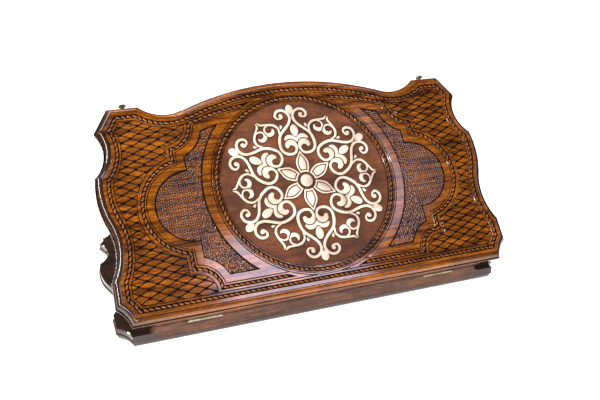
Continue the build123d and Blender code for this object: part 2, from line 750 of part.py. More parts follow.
def main():
    os.makedirs("parts", exist_ok=True)
    for name, shapes in half_nodes().items():
        save(f"base_{name}", place_all(shapes, in_base))
        save(f"lid_{name}", place_all(shapes, in_lid))
    for side, sign in (("left", -1), ("right", 1)):
        x = sign * HINGE_X
        save(f"{side}_hinge_base_leaf", in_base(hinge_leaf(-x, False)))
        save(f"{side}_hinge_lid_leaf", in_lid(hinge_leaf(x, True)))
        save(f"{side}_hinge_pin", in_base(hinge_pin(-x)))
        catch_x = sign * CATCH_X
        save(f"lid_{side}_peg", in_lid(Pos(catch_x, 0, CATCH_H) * peg()))
        pivot = Pos(catch_x, 0, HALF_HEIGHT - CATCH_H)
        save(f"{side}_hook_screw", pivot * hook_screw())
        swung = hook().rotate(Axis((0, 0, 0), (0, 1, 0)), HOOK_REST_TURN)
        save(f"{side}_hook", pivot * (swung if sign < 0 else mirror(swung, Plane.YZ)))
    save("light_checkers", checkers(-1))
    save("dark_checkers", checkers(1))
    save("dice", dice())


if __name__ == "__main__":
    main()
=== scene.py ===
# %% [markdown]
# # A shaped and carved backgammon board
# The real object is a folding wooden case. Two carved halves are joined by two brass hinges, and
# two hooks hold them shut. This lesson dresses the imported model: the frame gives every CAD node and
# the bodies that move, and each piece made here rides on one of those bodies.

# %% The frame
import math

import bmesh
import bpy
import numpy as np
from mathutils import Euler, Matrix, Vector
from mathutils.geometry import delaunay_2d_cdt


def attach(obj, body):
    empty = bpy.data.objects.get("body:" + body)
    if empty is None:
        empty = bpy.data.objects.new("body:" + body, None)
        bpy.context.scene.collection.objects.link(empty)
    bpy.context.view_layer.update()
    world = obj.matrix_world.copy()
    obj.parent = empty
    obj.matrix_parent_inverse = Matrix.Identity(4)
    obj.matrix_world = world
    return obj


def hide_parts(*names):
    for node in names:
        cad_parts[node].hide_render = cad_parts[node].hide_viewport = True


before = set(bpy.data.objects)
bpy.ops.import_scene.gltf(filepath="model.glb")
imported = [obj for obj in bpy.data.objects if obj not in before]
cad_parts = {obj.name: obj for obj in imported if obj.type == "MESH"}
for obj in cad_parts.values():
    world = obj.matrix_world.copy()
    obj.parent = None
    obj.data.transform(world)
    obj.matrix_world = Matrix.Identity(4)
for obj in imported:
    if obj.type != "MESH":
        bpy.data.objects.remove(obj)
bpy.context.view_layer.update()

scene = bpy.context.scene
print("CAD nodes:", len(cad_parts))

# %% [markdown]
# ## Where a half lies
# Both halves are made once, in millimetres, in a frame of their own: x along the hinges, y away
# from them, and h up from the seam towards the carved face. Two matrices put a half in its place:
# the base is turned over onto the table, and the lid stands open by 47 degrees about the hinge line.
# The place goes into the mesh, so every finished object stays at the origin, unturned.

# %% Placing a half
MM = 0.001
HALF_HEIGHT = 31.5
HINGE_Y = -165.2
LID_OPEN = math.radians(47)
TO_METRES = Matrix.Scale(MM, 4)
SEAM_UP = Matrix.Translation((0, 0, HALF_HEIGHT))
HINGE = Matrix.Translation((0, HINGE_Y, HALF_HEIGHT))
HINGE_BACK = Matrix.Translation((0, -HINGE_Y, -HALF_HEIGHT))
IN_LID = TO_METRES @ HINGE @ Matrix.Rotation(LID_OPEN, 4, "X") @ HINGE_BACK @ SEAM_UP
IN_BASE = TO_METRES @ SEAM_UP @ Matrix.Rotation(math.pi, 4, "Y")
PLACES = {"lid": IN_LID, "base": IN_BASE}


def piece(name, mesh, body, nodes=(), place=TO_METRES):
    """Puts a mesh made in millimetres in its place, and lets it ride on a body."""
    mesh.transform(place)
    obj = bpy.data.objects.new(name, mesh)
    scene.collection.objects.link(obj)
    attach(obj, body)
    if nodes:
        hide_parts(*nodes)
    print(name, len(mesh.polygons), "faces")
    return obj


# %% [markdown]
# ## Outlines of lines and arcs
# The plan of the board is a run of straight and round sides, as a joiner would set it out with a rule
# and compasses. Moving every side inwards by the same distance gives the line of each moulding, groove
# and border, so all of them follow the edge exactly.

# %% Sides and insets
def line(start, end):
    """A straight side."""
    return {"start": start, "end": end, "centre": None}


def arc(start, via, end):
    """A round side through three points."""
    (ax, ay), (bx, by), (cx, cy) = start, via, end
    twice = 2 * (ax * (by - cy) + bx * (cy - ay) + cx * (ay - by))
    a2, b2, c2 = ax * ax + ay * ay, bx * bx + by * by, cx * cx + cy * cy
    ux = (a2 * (by - cy) + b2 * (cy - ay) + c2 * (ay - by)) / twice
    uy = (a2 * (cx - bx) + b2 * (ax - cx) + c2 * (bx - ax)) / twice
    radius = math.dist((ux, uy), start)
    return {"start": start, "end": end, "centre": (ux, uy), "turn": 1 if twice > 0 else -1, "radius": radius}


def gap_to(side, corner, distance, point):
    """How far a point lies to the left of a side moved by a distance, and the normal there."""
    if side["centre"] is None:
        dx, dy = side["end"][0] - side["start"][0], side["end"][1] - side["start"][1]
        size = math.hypot(dx, dy)
        normal = (-dy / size, dx / size)
        return (point[0] - corner[0]) * normal[0] + (point[1] - corner[1]) * normal[1] - distance, normal
    cx, cy = side["centre"]
    away = math.dist(point, (cx, cy))
    normal = (side["turn"] * (cx - point[0]) / away, side["turn"] * (cy - point[1]) / away)
    return side["turn"] * (side["radius"] - away) - distance, normal


SMOOTH_SPREAD = 1.995
NEWTON_STEPS = 12


def meeting(first, second, corner, distance):
    """Where two neighbouring sides meet once both are moved to their left."""
    n1 = gap_to(first, corner, 0, corner)[1]
    n2 = gap_to(second, corner, 0, corner)[1]
    spread = 1 + n1[0] * n2[0] + n1[1] * n2[1]
    x = corner[0] + distance * (n1[0] + n2[0]) / spread
    y = corner[1] + distance * (n1[1] + n2[1]) / spread
    if spread > SMOOTH_SPREAD:
        return (x, y)
    for _ in range(NEWTON_STEPS):
        g1, n1 = gap_to(first, corner, distance, (x, y))
        g2, n2 = gap_to(second, corner, distance, (x, y))
        det = n1[0] * n2[1] - n1[1] * n2[0]
        x -= (g1 * n2[1] - g2 * n1[1]) / det
        y -= (g2 * n1[0] - g1 * n2[0]) / det
    return (x, y)


def inset(sides, distance):
    """The outline moved inwards, or outwards where the distance is negative."""
    corners = [meeting(sides[i - 1], sides[i], sides[i]["start"], distance) for i in range(len(sides))]
    moved = []
    for i, side in enumerate(sides):
        new = dict(side, start=corners[i], end=corners[(i + 1) % len(sides)])
        if side["centre"] is not None:
            new["radius"] = side["radius"] - side["turn"] * distance
        moved.append(new)
    return moved


def joined(right):
    """A closed outline from its right half, with the sides on the middle line made whole."""
    left = []
    for side in reversed(right):
        new = dict(side, start=(-side["end"][0], side["end"][1]), end=(-side["start"][0], side["start"][1]))
        if side["centre"] is not None:
            new["centre"] = (-side["centre"][0], side["centre"][1])
        left.append(new)
    first = dict(right[0], start=left[-1]["start"])
    last = dict(right[-1], end=left[0]["end"])
    return [first] + right[1:-1] + [last] + left[1:-1]


# %% [markdown]
# ## Points along an outline
# Sides of lines and arcs are exact, but a mesh needs points. Every side is cut into stretches of about
# the same length, and each inset of the outline gets the same number of them, so two neighbouring insets
# can be joined by plain four-sided faces.

# %% Walking along an outline
def sweep(side):
    """The angle a round side begins at, and how far it turns."""
    cx, cy = side["centre"]
    begin = math.atan2(side["start"][1] - cy, side["start"][0] - cx)
    finish = math.atan2(side["end"][1] - cy, side["end"][0] - cx)
    return begin, side["turn"] * ((finish - begin) * side["turn"] % (2 * math.pi))


def length_of(side):
    """How long a side is."""
    if side["centre"] is None:
        return math.dist(side["start"], side["end"])
    return side["radius"] * abs(sweep(side)[1])


def counts_of(sides, step):
    """How many stretches each side is divided into."""
    return [max(1, round(length_of(side) / step)) for side in sides]


def trace(sides, counts):
    """Points along an outline, with the same count on every inset of it."""
    points = []
    for side, count in zip(sides, counts):
        for k in range(count):
            t = k / count
            if side["centre"] is None:
                points.append(tuple(a + (b - a) * t for a, b in zip(side["start"], side["end"])))
                continue
            begin, turn = sweep(side)
            angle = begin + turn * t
            cx, cy = side["centre"]
            points.append((cx + side["radius"] * math.cos(angle), cy + side["radius"] * math.sin(angle)))
    return points


# %% [markdown]
# ## The plan of this board
# The right half is drawn and mirrored, as a template for a scroll saw would be. The first outline is the
# edge of the board. The second one bounds the sunk grounds beside the medallion, with their round lobes.
# Drawing both with few long arcs keeps the curves as clean as the real ones.

# %% The plan of the board and of its side grounds
FRONT_Y = -164.4
BACK_FLAT_Y = 147.4
ARCH_Y = 165.2
OUTLINE = joined([
    line((0, FRONT_Y), (282.0, FRONT_Y)),
    arc((282.0, FRONT_Y), (288.4, -148.4), (299.2, -137.0)),
    line((299.2, -137.0), (298.4, -101.0)),
    arc((298.4, -101.0), (286.0, -60.5), (291.5, -25.0)),
    arc((291.5, -25.0), (299.2, 14.0), (296.2, 47.6)),
    arc((296.2, 47.6), (279.6, 81.0), (288.3, 111.8)),
    line((288.3, 111.8), (265.2, BACK_FLAT_Y)),
    line((265.2, BACK_FLAT_Y), (220.8, BACK_FLAT_Y)),
    arc((220.8, BACK_FLAT_Y), (184.0, 131.6), (160.0, 135.6)),
    arc((160.0, 135.6), (81.0, 157.9), (0, ARCH_Y)),
])
LOBE_X, LOBE_Y, LOBE_R = 172.5, -13.0, 53.0
CARTOUCHE = joined([
    line((0, -118.5), (142.0, -118.5)),
    arc((142.0, -118.5), (153.5, -101.0), (LOBE_X, -89.5)),
    line((LOBE_X, -89.5), (LOBE_X, LOBE_Y - LOBE_R)),
    arc((LOBE_X, LOBE_Y - LOBE_R), (LOBE_X + LOBE_R, LOBE_Y), (LOBE_X, LOBE_Y + LOBE_R)),
    line((LOBE_X, LOBE_Y + LOBE_R), (LOBE_X, 60.5)),
    arc((LOBE_X, 60.5), (155.5, 72.0), (141.0, 97.5)),
    arc((141.0, 97.5), (72.0, 112.8), (0, 118.0)),
])
STEP = 2.6
OUTLINE_COUNTS = counts_of(OUTLINE, STEP)
CARTOUCHE_COUNTS = counts_of(CARTOUCHE, STEP)


def edge_line(distance):
    """The outline of the board at an inset."""
    return trace(inset(OUTLINE, distance), OUTLINE_COUNTS)


def ground_line(distance):
    """The outline of the side grounds at an inset."""
    return trace(inset(CARTOUCHE, distance), CARTOUCHE_COUNTS)


def circle(radius, count, centre=(0, 0)):
    """Points round a circle."""
    turns = [2 * math.pi * k / count for k in range(count)]
    return [(centre[0] + radius * math.cos(a), centre[1] + radius * math.sin(a)) for a in turns]


print("outline points:", sum(OUTLINE_COUNTS), "ground points:", sum(CARTOUCHE_COUNTS))

# %% [markdown]
# ## Colours and nodes
# Colours are written as sRGB hex values, as they are picked from a screen, and one function turns them
# into the linear numbers that shaders work with. One small function adds any node to any tree.

# %% Helpers for colours and nodes
def paint(code):
    """An sRGB hex colour as linear red, green, blue and alpha."""
    parts = [int(code[i:i + 2], 16) / 255 for i in (1, 3, 5)]
    return tuple(c / 12.92 if c <= 0.04045 else ((c + 0.055) / 1.055) ** 2.4 for c in parts) + (1.0,)


def add(tree, kind, inputs=None, **settings):
    """Adds a node with its settings. An input takes a value, a socket, or a node's first output."""
    node = tree.nodes.new(kind)
    for key, value in settings.items():
        setattr(node, key, value)
    for key, value in (inputs or {}).items():
        if isinstance(value, bpy.types.Node):
            value = value.outputs[0]
        if isinstance(value, bpy.types.NodeSocket):
            tree.links.new(value, node.inputs[key])
        else:
            node.inputs[key].default_value = value
    return node


def new_material(name):
    """An empty material with its output node."""
    material = bpy.data.materials.new(name)
    material.use_nodes = True
    material.node_tree.nodes.clear()
    return material, material.node_tree


def ramp(tree, factor, stops):
    """A colour ramp with its stops at given places."""
    node = add(tree, "ShaderNodeValToRGB", {"Fac": factor})
    elements = node.color_ramp.elements
    while len(elements) < len(stops):
        elements.new(0.5)
    for element, (place, code) in zip(elements, stops):
        element.position = place
        element.color = paint(code)
    return node


# %% [markdown]
# ## Stained beech
# The case is beech, carved, stained and then rubbed back, so the stain stays dark in every cut and turns
# amber on the flats. Beech shows long soft bands and short dark flecks along the grain. Each cut surface
# carries a number called glaze, which mixes in the dark stain. The mouldings carry a second number,
# which mixes in a near-black colour: at the two ends it is a darker stain with painted shade, and on the
# base it is painted shade all round the moulding. A clear lacquer coat lies on top.

# %% The wood material
# Real growth rings are finer than this picture shows, so the bands are drawn as wide as they need to be.
# Bands and flecks are this many times longer than they are wide.
BAND_LENGTH = 18
FLECK_LENGTH = 4.5
# How dark the two ends and the base's moulding get, a darker stain with painted shade, and how much the soft
# blotches of the stain show.
STAIN_AND_SHADE_COLOUR = "#1c0d05"
BLOTCH_SHARE = 0.65


def stained_wood(name, pale, deep, fleck, stain="#170c06", band_mm=5.0, fleck_mm=1.0, coat=0.8, rough=0.42,
                 coat_rough=0.12, turn=0.0, along="X", bump=0.12, fleck_share=0.55, specular=0.25):
    """Wood with its grain along x or y: bands, flecks, stain in the cuts and a coat of lacquer."""
    material, tree = new_material(name)
    where = add(tree, "ShaderNodeTexCoord").outputs["Object"]
    level = add(tree, "ShaderNodeMapping", {"Vector": where, "Rotation": (-turn, 0, 0)}, vector_type="POINT")
    stretch = (1 / (band_mm * BAND_LENGTH * MM), 1 / (band_mm * MM), 1 / (band_mm * MM))
    speck = (1 / (fleck_mm * FLECK_LENGTH * MM), 1 / (fleck_mm * MM), 1 / (fleck_mm * MM))
    if along == "Y":
        stretch = (stretch[1], stretch[0], stretch[2])
        speck = (speck[1], speck[0], speck[2])
    bands_at = add(tree, "ShaderNodeMapping", {"Vector": level, "Scale": stretch})
    specks_at = add(tree, "ShaderNodeMapping", {"Vector": level, "Scale": speck})
    bands = add(tree, "ShaderNodeTexNoise",
                {"Vector": bands_at, "Scale": 1.0, "Detail": 5.0, "Distortion": 0.6})
    specks = add(tree, "ShaderNodeTexNoise", {"Vector": specks_at, "Scale": 1.0, "Detail": 2.0})
    cloud = add(tree, "ShaderNodeTexNoise", {"Vector": level, "Scale": 28.0, "Detail": 3.0})
    ground = ramp(tree, bands, [(0.34, deep), (0.66, pale)])
    marks = ramp(tree, specks, [(0.42, "#000000"), (0.60, "#ffffff")])
    share = add(tree, "ShaderNodeMath", {0: marks, 1: fleck_share}, operation="MULTIPLY")
    flecked = add(tree, "ShaderNodeMix", {"Factor": share, 6: ground, 7: paint(fleck)},
                  data_type="RGBA")
    blotch = ramp(tree, cloud, [(0.35, "#8a8a8a"), (0.62, "#ffffff")])
    blotched = add(tree, "ShaderNodeMix", {"Factor": BLOTCH_SHARE, 6: flecked.outputs[2], 7: blotch},
                   data_type="RGBA", blend_type="MULTIPLY")
    # Mixes in the darker colour of the mouldings: at the ends a darker stain with painted shade, on the base
    # painted shade all round.
    burnt = add(tree, "ShaderNodeAttribute", attribute_name="burnt")
    dark_end = add(tree, "ShaderNodeMix",
                   {"Factor": burnt.outputs["Fac"], 6: blotched.outputs[2], 7: paint(STAIN_AND_SHADE_COLOUR)},
                   data_type="RGBA")
    glaze = add(tree, "ShaderNodeAttribute", attribute_name="glaze")
    soak = add(tree, "ShaderNodeMath", {0: glaze.outputs["Fac"], 1: 0.5}, operation="POWER")
    colour = add(tree, "ShaderNodeMix", {"Factor": soak, 6: dark_end.outputs[2], 7: paint(stain)},
                 data_type="RGBA")
    relief = add(tree, "ShaderNodeBump", {"Strength": bump, "Distance": 0.0003, "Height": specks})
    shader = add(tree, "ShaderNodeBsdfPrincipled", {
        "Base Color": colour.outputs[2], "Roughness": rough, "Normal": relief, "Coat Weight": coat,
        "Coat Roughness": coat_rough, "IOR": 1.5, "Specular IOR Level": specular,
    })
    add(tree, "ShaderNodeOutputMaterial", {"Surface": shader})
    return material


# Carved beech under thick lacquer: amber flats, nearly black cuts and a clear mirror of the studio.
CARVED = stained_wood("lacquered_carved_beech", "#b0620f", "#4e2204", "#240f02", stain="#0a0401",
                      coat=1.0, coat_rough=0.11, rough=0.6, bump=0.2, specular=0.03)
# Rough wood in the gouged cuts, soaked with stain: dark and matt, so a cut reads as a line.
CUT = stained_wood("stained_cuts", "#1c0e06", "#120803", "#0a0402", stain="#0a0402",
                   coat=0.0, rough=0.85, specular=0.1)
# The beech moulding is shaped smooth and lacquered, so its gloss is one thin bright streak.
MOULDING = stained_wood("lacquered_moulding", "#b8680c", "#743705", "#3f1c03", stain="#0e0602",
                        coat=1.0, coat_rough=0.06, rough=0.6, specular=0.05)
# Inside the case the beech is stained and left without lacquer: a flat, greyish brown.
INNER = stained_wood("matt_stained_beech", "#6f4c3c", "#503426", "#352117", coat=0.0, rough=0.6)
# Rails of beech, stained red-brown with a thin coat: an even colour with a faint sheen.
RAIL = stained_wood("red_brown_beech", "#7e4c2c", "#4c2a18", "#30190e",
                    coat=0.25, rough=0.5, band_mm=3.0)
# The same rails at the sides, where the grain runs the other way.
RAIL_SIDE = stained_wood("red_brown_beech_across", "#7e4c2c", "#4c2a18", "#30190e",
                         coat=0.25, rough=0.5, band_mm=3.0, along="Y")
# And at the sides of the lid, where the grain leans with it.
RAIL_LID_SIDE = stained_wood("red_brown_beech_across_lid", "#7e4c2c", "#4c2a18", "#30190e",
                             coat=0.25, rough=0.5, band_mm=3.0, along="Y", turn=LID_OPEN)
# End blocks of beech, near black under a full coat: mostly their highlights show.
END_WOOD = stained_wood("lacquered_end_wood", "#3e1f0f", "#221008", "#120804",
                        coat=1.0, coat_rough=0.06, rough=0.5, specular=0.1)
# The disc is a darker wood, planed and waxed, with wide bands: a warm brown without highlights.
DISC = stained_wood("satin_brown_walnut", "#7d4726", "#5a311a", "#3f200e",
                    coat=0.0, rough=0.62, band_mm=14.0, fleck_mm=1.4, fleck_share=0.45)
# A thin dark line round the inlays: brown to black, and matt.
OUTLINE_DARK = stained_wood("burnt_outline", "#3a1e0e", "#271307", "#180b04", coat=0.0, rough=0.7)
# Maple, sawn and sanded: pale cream with hardly any figure and a soft satin.
MAPLE_INLAY = stained_wood("maple_inlay", "#f9e3cd", "#f2d3b4", "#e3c099", stain="#4f2c13",
                           coat=0.1, rough=0.5, band_mm=4.0, bump=0.03, fleck_share=0.15)
# Carved strands of beech under lacquer: brown, with a small light on each strand.
ROPE = stained_wood("lacquered_rope_beading", "#a05c1e", "#6e3c10", "#3c1f08",
                    coat=1.0, coat_rough=0.16, rough=0.5, specular=0.05)
# Veneer on the playing field: light brown with straight bands and a soft sheen.
FIELD = stained_wood("field_veneer", "#b07840", "#8a5526", "#6d3f1a", coat=0.3, band_mm=4.0, along="X")
# Maple veneer for the pale points: cream with fine bands.
PALE_POINT = stained_wood("maple_veneer", "#e7cd9c", "#d2b07a", "#b58f5a",
                          coat=0.3, band_mm=3.0, fleck_share=0.2)
# Wenge veneer for the dark points: narrow stripes of brown and nearly black.
DARK_POINT = stained_wood("wenge_veneer", "#4a2a1b", "#24120b", "#160a06", coat=0.3, band_mm=1.6)
# Turned and waxed maple: the cream of the wood with a low gloss.
PALE_CHECKER = stained_wood("waxed_maple", "#e3c18c", "#c99e63", "#a67b45",
                            coat=0.5, coat_rough=0.2, band_mm=2.5)
# Turned and waxed walnut: a deep brown that tells the two sides apart.
DARK_CHECKER = stained_wood("waxed_walnut", "#55301d", "#2f180e", "#1d0e08",
                            coat=0.5, coat_rough=0.2, band_mm=2.0)


# %% [markdown]
# ## Brass and plastic
# The hinges, hooks and pegs are cheap rolled brass with a dull lacquer: pale, a little green, with fine
# scratches and brown tarnish in patches. The dice are moulded ivory-coloured plastic.

# %% Brass, ivory plastic and black pips
def brass(name, pale, deep):
    """Aged brass: tarnish in soft patches, and a roughness that changes with it."""
    material, tree = new_material(name)
    where = add(tree, "ShaderNodeTexCoord").outputs["Object"]
    patches = add(tree, "ShaderNodeTexNoise", {"Vector": where, "Scale": 220.0, "Detail": 4.0})
    colour = ramp(tree, patches, [(0.36, deep), (0.62, pale)])
    dull = add(tree, "ShaderNodeMapRange", {"Value": patches, "To Min": 0.5, "To Max": 0.24})
    scratches_at = add(tree, "ShaderNodeMapping", {"Vector": where, "Scale": (300.0, 2500.0, 2500.0)})
    scratches = add(tree, "ShaderNodeTexNoise", {"Vector": scratches_at, "Scale": 1.0})
    relief = add(tree, "ShaderNodeBump", {"Strength": 0.15, "Distance": 0.0001, "Height": scratches})
    shader = add(tree, "ShaderNodeBsdfPrincipled", {
        "Base Color": colour, "Roughness": dull, "Metallic": 1.0, "Normal": relief,
    })
    add(tree, "ShaderNodeOutputMaterial", {"Surface": shader})
    return material


def moulded_plastic(name, pale, deep, rough):
    """Moulded plastic with a faint cloud in its colour."""
    material, tree = new_material(name)
    where = add(tree, "ShaderNodeTexCoord").outputs["Object"]
    cloud = add(tree, "ShaderNodeTexNoise", {"Vector": where, "Scale": 90.0, "Detail": 3.0})
    colour = ramp(tree, cloud, [(0.35, deep), (0.65, pale)])
    shader = add(tree, "ShaderNodeBsdfPrincipled", {"Base Color": colour, "Roughness": rough, "IOR": 1.49})
    add(tree, "ShaderNodeOutputMaterial", {"Surface": shader})
    return material


# Rolled brass under old lacquer: pale and a little green, with browner patches.
BRASS = brass("aged_brass", "#c9c3a2", "#857d58")
# Brass browned by age: darker, with only a hint of yellow.
BROWNED = brass("browned_brass", "#7d7050", "#2f2618")
# Moulded plastic in the colour of ivory: smooth, with a small sharp highlight.
IVORY = moulded_plastic("ivory_plastic", "#f2ead6", "#e2d6b8", 0.28)
# Black paint in the drilled pips: a little duller than the plastic round it.
PIP = moulded_plastic("black_pip_paint", "#26201c", "#14100e", 0.4)

# %% [markdown]
# ## Filling a plan with faces
# The carved face is one height over every point of the plan, so it can be drawn flat first. All edges
# of the cuts go into a constrained Delaunay triangulation, which puts a corner wherever two of them
# cross and keeps every cut crisp. Each point is then lowered by the depth of the cut it lies in.

# %% A plan of constraint lines
class Plan:
    """Points and lines of a flat drawing, for the triangulation."""

    def __init__(self):
        self.points = []
        self.lines = []

    def loop(self, points, closed=True):
        first = len(self.points)
        self.points.extend(points)
        count = len(points)
        for k in range(count if closed else count - 1):
            self.lines.append((first + k, first + (k + 1) % count))

    def fill(self):
        """The triangulation as an array of points and an array of triangles."""
        flat = [Vector(p) for p in self.points]
        points, _, faces, *_ = delaunay_2d_cdt(flat, self.lines, [], 0, 1e-4, False)
        return np.array([tuple(p) for p in points]), np.array([tuple(f) for f in faces])


POINTS_AT_ONCE = 20000


def inside(outline, points):
    """Which points lie inside a closed line, by counting the crossings of a ray."""
    ring = np.array(outline)
    ahead = np.roll(ring, -1, axis=0)
    result = np.zeros(len(points), bool)
    for start in range(0, len(points), POINTS_AT_ONCE):
        batch = slice(start, start + POINTS_AT_ONCE)
        x = points[batch, 0:1]
        y = points[batch, 1:2]
        spans = (ring[:, 1] > y) != (ahead[:, 1] > y)
        rise = np.where(ahead[:, 1] == ring[:, 1], 1e-9, ahead[:, 1] - ring[:, 1])
        reach = (ahead[:, 0] - ring[:, 0]) * (y - ring[:, 1]) / rise + ring[:, 0]
        result[batch] = (spans & (x < reach)).sum(axis=1) % 2 == 1
    return result


def mesh_of(name, points, faces, smooth_below=None, **values):
    """A mesh with its faces, sharp where they meet at more than an angle, and named numbers on its points."""
    mesh = bpy.data.meshes.new(name)
    mesh.from_pydata([tuple(p) for p in points], [], [tuple(f) for f in faces])
    for key, numbers in values.items():
        mesh.attributes.new(key, "FLOAT", "POINT").data.foreach_set("value", np.asarray(numbers, np.float32))
    mesh.validate()
    if smooth_below:
        mesh.shade_smooth()
        mesh.set_sharp_from_angle(angle=math.radians(smooth_below))
    return mesh


# %% [markdown]
# ## The carved face
# Working inwards from the edge there is a rope channel, a dark line, and at the two ends a lattice of
# long lozenges with a punched dot at each crossing. A second rope channel runs round the side grounds,
# and a third round the medallion. The grounds are sunk and matted with a punch.

# %% Sizes of the carving
WALL = 0.4
FACE_INSET = 12.0
ROPE_OUTER, ROPE_INNER = 15.0, 21.5
ROPE_DEPTH = 1.6
LINE_INSET = 24.2
LINE_HALF = 0.85
LINE_DEPTH = 1.0
BORDER_LINE = 10.4
BORDER_NEAR, BORDER_FAR = 12.8, 19.0
BORDER_OUT = 23.5
BORDER_STOP_R = 145.0
RECESS_R = 128.15
RECESS_FLOOR_H = 27.5
RING_ROPE_IN, RING_ROPE_OUT = 130.3, 136.8
GROUND_LINES = (-BORDER_LINE, -BORDER_OUT)
RING_LINES = (RECESS_R + 0.9, 138.0, 140.9)
RING_OUT_R = 153.5
GROUND_DEPTH = 1.3
MOAT_WIDTH = 1.7
LATTICE_NEAR_X = 161.0
LATTICE_WIDE, LATTICE_HIGH = 25.0, 11.66
LATTICE_AT = (240.5, 119.5)
LATTICE_HALF = 1.1
LATTICE_DEPTH = 1.1
DOT_R = 2.3
DOT_DEPTH = 1.5
TOUCH = 0.03
GLAZE_FULL = 0.35
CUT_SHARE = 0.9

# %% [markdown]
# ## A lattice of long lozenges
# The carver rules two sets of slanting lines across the ends and cuts a groove along each, then presses
# a dot where they cross. The lines could be typed in one by one, but a pitch and a slope give them all.
# Each line is kept only where it lies in the lattice field, so it stops cleanly at the borders.

# %% The lattice lines and dots
LATTICE_FAR_X = 290.0
LATTICE_SAMPLE = 0.5
LINES_EACH_WAY = 40
SHORTEST_RUN = 3
DOT_ROWS = range(-60, 40)
DOT_COLUMNS = range(-8, 8)
DOT_CLEARANCE = 0.6
SLOPE = LATTICE_HIGH / LATTICE_WIDE
LEAN = 1 / math.hypot(1, SLOPE)


def in_lattice(points, margin):
    """Which points lie in the lattice fields, a margin inside their edges."""
    spread = np.abs(points[:, 0]) > LATTICE_NEAR_X + margin
    within = inside(edge_line(LINE_INSET + margin), points)
    in_border = inside(ground_line(-BORDER_OUT - margin), points)
    return spread & within & ~in_border


def lattice_lines():
    """The middle line and both edges of every lattice groove."""
    made = []
    x = np.arange(LATTICE_NEAR_X, LATTICE_FAR_X, LATTICE_SAMPLE)
    for sign in (1, -1):
        for k in range(-LINES_EACH_WAY, LINES_EACH_WAY + 1):
            y = LATTICE_AT[1] + sign * SLOPE * (x - LATTICE_AT[0]) + LATTICE_HIGH * k
            held = in_lattice(np.column_stack([x, y]), 0.0)
            edges = np.flatnonzero(np.diff(np.concatenate([[False], held, [False]]).astype(int)))
            for begin, end in zip(edges[::2], edges[1::2]):
                if end - begin < SHORTEST_RUN:
                    continue
                for offset in (-LATTICE_HALF / LEAN, 0, LATTICE_HALF / LEAN):
                    ends = [(x[i], y[i] + offset) for i in (begin, end - 1)]
                    made.append(ends)
                    made.append([(-a, b) for a, b in ends])
    return made


def lattice_dots():
    """The crossings of the lattice."""
    found = []
    for row in DOT_ROWS:
        for column in DOT_COLUMNS:
            x = LATTICE_AT[0] + LATTICE_WIDE / 2 * column
            y = LATTICE_AT[1] + LATTICE_HIGH / 2 * row
            if (row + column) % 2 == 0:
                found.append((x, y))
    found = np.array(found)
    found = found[in_lattice(found, DOT_R * DOT_CLEARANCE)]
    return np.concatenate([found, found * (-1, 1)])


def fraction_from_line(value):
    """How far a number lies from the nearest whole one."""
    return np.abs(value - np.round(value))


LATTICE_LINES = lattice_lines()
LATTICE_DOTS = lattice_dots()
print("lattice lines:", len(LATTICE_LINES), "dots:", len(LATTICE_DOTS))

# %% [markdown]
# ## Drawing the face and sinking its cuts
# All the edges of the carving go into one plan: insets of the two outlines, circles round the medallion,
# the lattice and its dots. The grounds also get an even net of points, close enough for the punch marks
# that are pressed in later. A wall is not upright but 0.4 mm wide, as a gouge leaves it.

# %% The drawing of the carved face
RING_STEPS = 300
DOT_SIDES = 8
MATTING_STEP = 0.95
MATTING_ROWS = MATTING_STEP * 0.866
MATTING_X = (95.0, 228.0)
MATTING_Y = (-120.0, 120.0)
MATTING_CLEARANCE = 0.5


def matting_grid():
    """An even net of points in the side grounds, fine enough to take the punch marks."""
    xs = np.arange(*MATTING_X, MATTING_STEP)
    ys = np.arange(*MATTING_Y, MATTING_ROWS)
    net = [(x + (j % 2) * MATTING_STEP / 2, y) for j, y in enumerate(ys) for x in xs]
    net = np.array(net)
    net = net[np.hypot(net[:, 0], net[:, 1]) > RING_OUT_R + MOAT_WIDTH + MATTING_CLEARANCE]
    net = net[inside(ground_line(MOAT_WIDTH + MATTING_CLEARANCE), net)]
    return np.concatenate([net, net * (-1, 1)])


def draw_face():
    """Every edge of the carving, as lines of one plan."""
    plan = Plan()
    rings = [FACE_INSET, ROPE_OUTER, ROPE_OUTER + WALL, ROPE_INNER - WALL, ROPE_INNER]
    rings += [LINE_INSET + shift for shift in (-LINE_HALF, 0, LINE_HALF)]
    for distance in rings:
        plan.loop(edge_line(distance))
    borders = [-BORDER_FAR, -BORDER_FAR + WALL, -BORDER_NEAR - WALL, -BORDER_NEAR, 0, WALL, MOAT_WIDTH]
    borders += [middle + shift for middle in GROUND_LINES for shift in (-LINE_HALF, 0, LINE_HALF)]
    for distance in borders:
        plan.loop(ground_line(distance))
    rounds = [RECESS_R, RING_ROPE_IN, RING_ROPE_IN + WALL, RING_ROPE_OUT - WALL, RING_ROPE_OUT,
              BORDER_STOP_R, BORDER_STOP_R + WALL, RING_OUT_R, RING_OUT_R + WALL, RING_OUT_R + MOAT_WIDTH]
    rounds += [middle + shift for middle in RING_LINES for shift in (-LINE_HALF, 0, LINE_HALF)]
    for radius in rounds:
        plan.loop(circle(radius, RING_STEPS))
    for ends in LATTICE_LINES:
        plan.loop(ends, closed=False)
    for centre in LATTICE_DOTS:
        plan.loop(circle(DOT_R, DOT_SIDES, centre))
        plan.loop(circle(DOT_R - WALL, DOT_SIDES, centre))
    plan.points.extend(tuple(p) for p in matting_grid())
    return plan


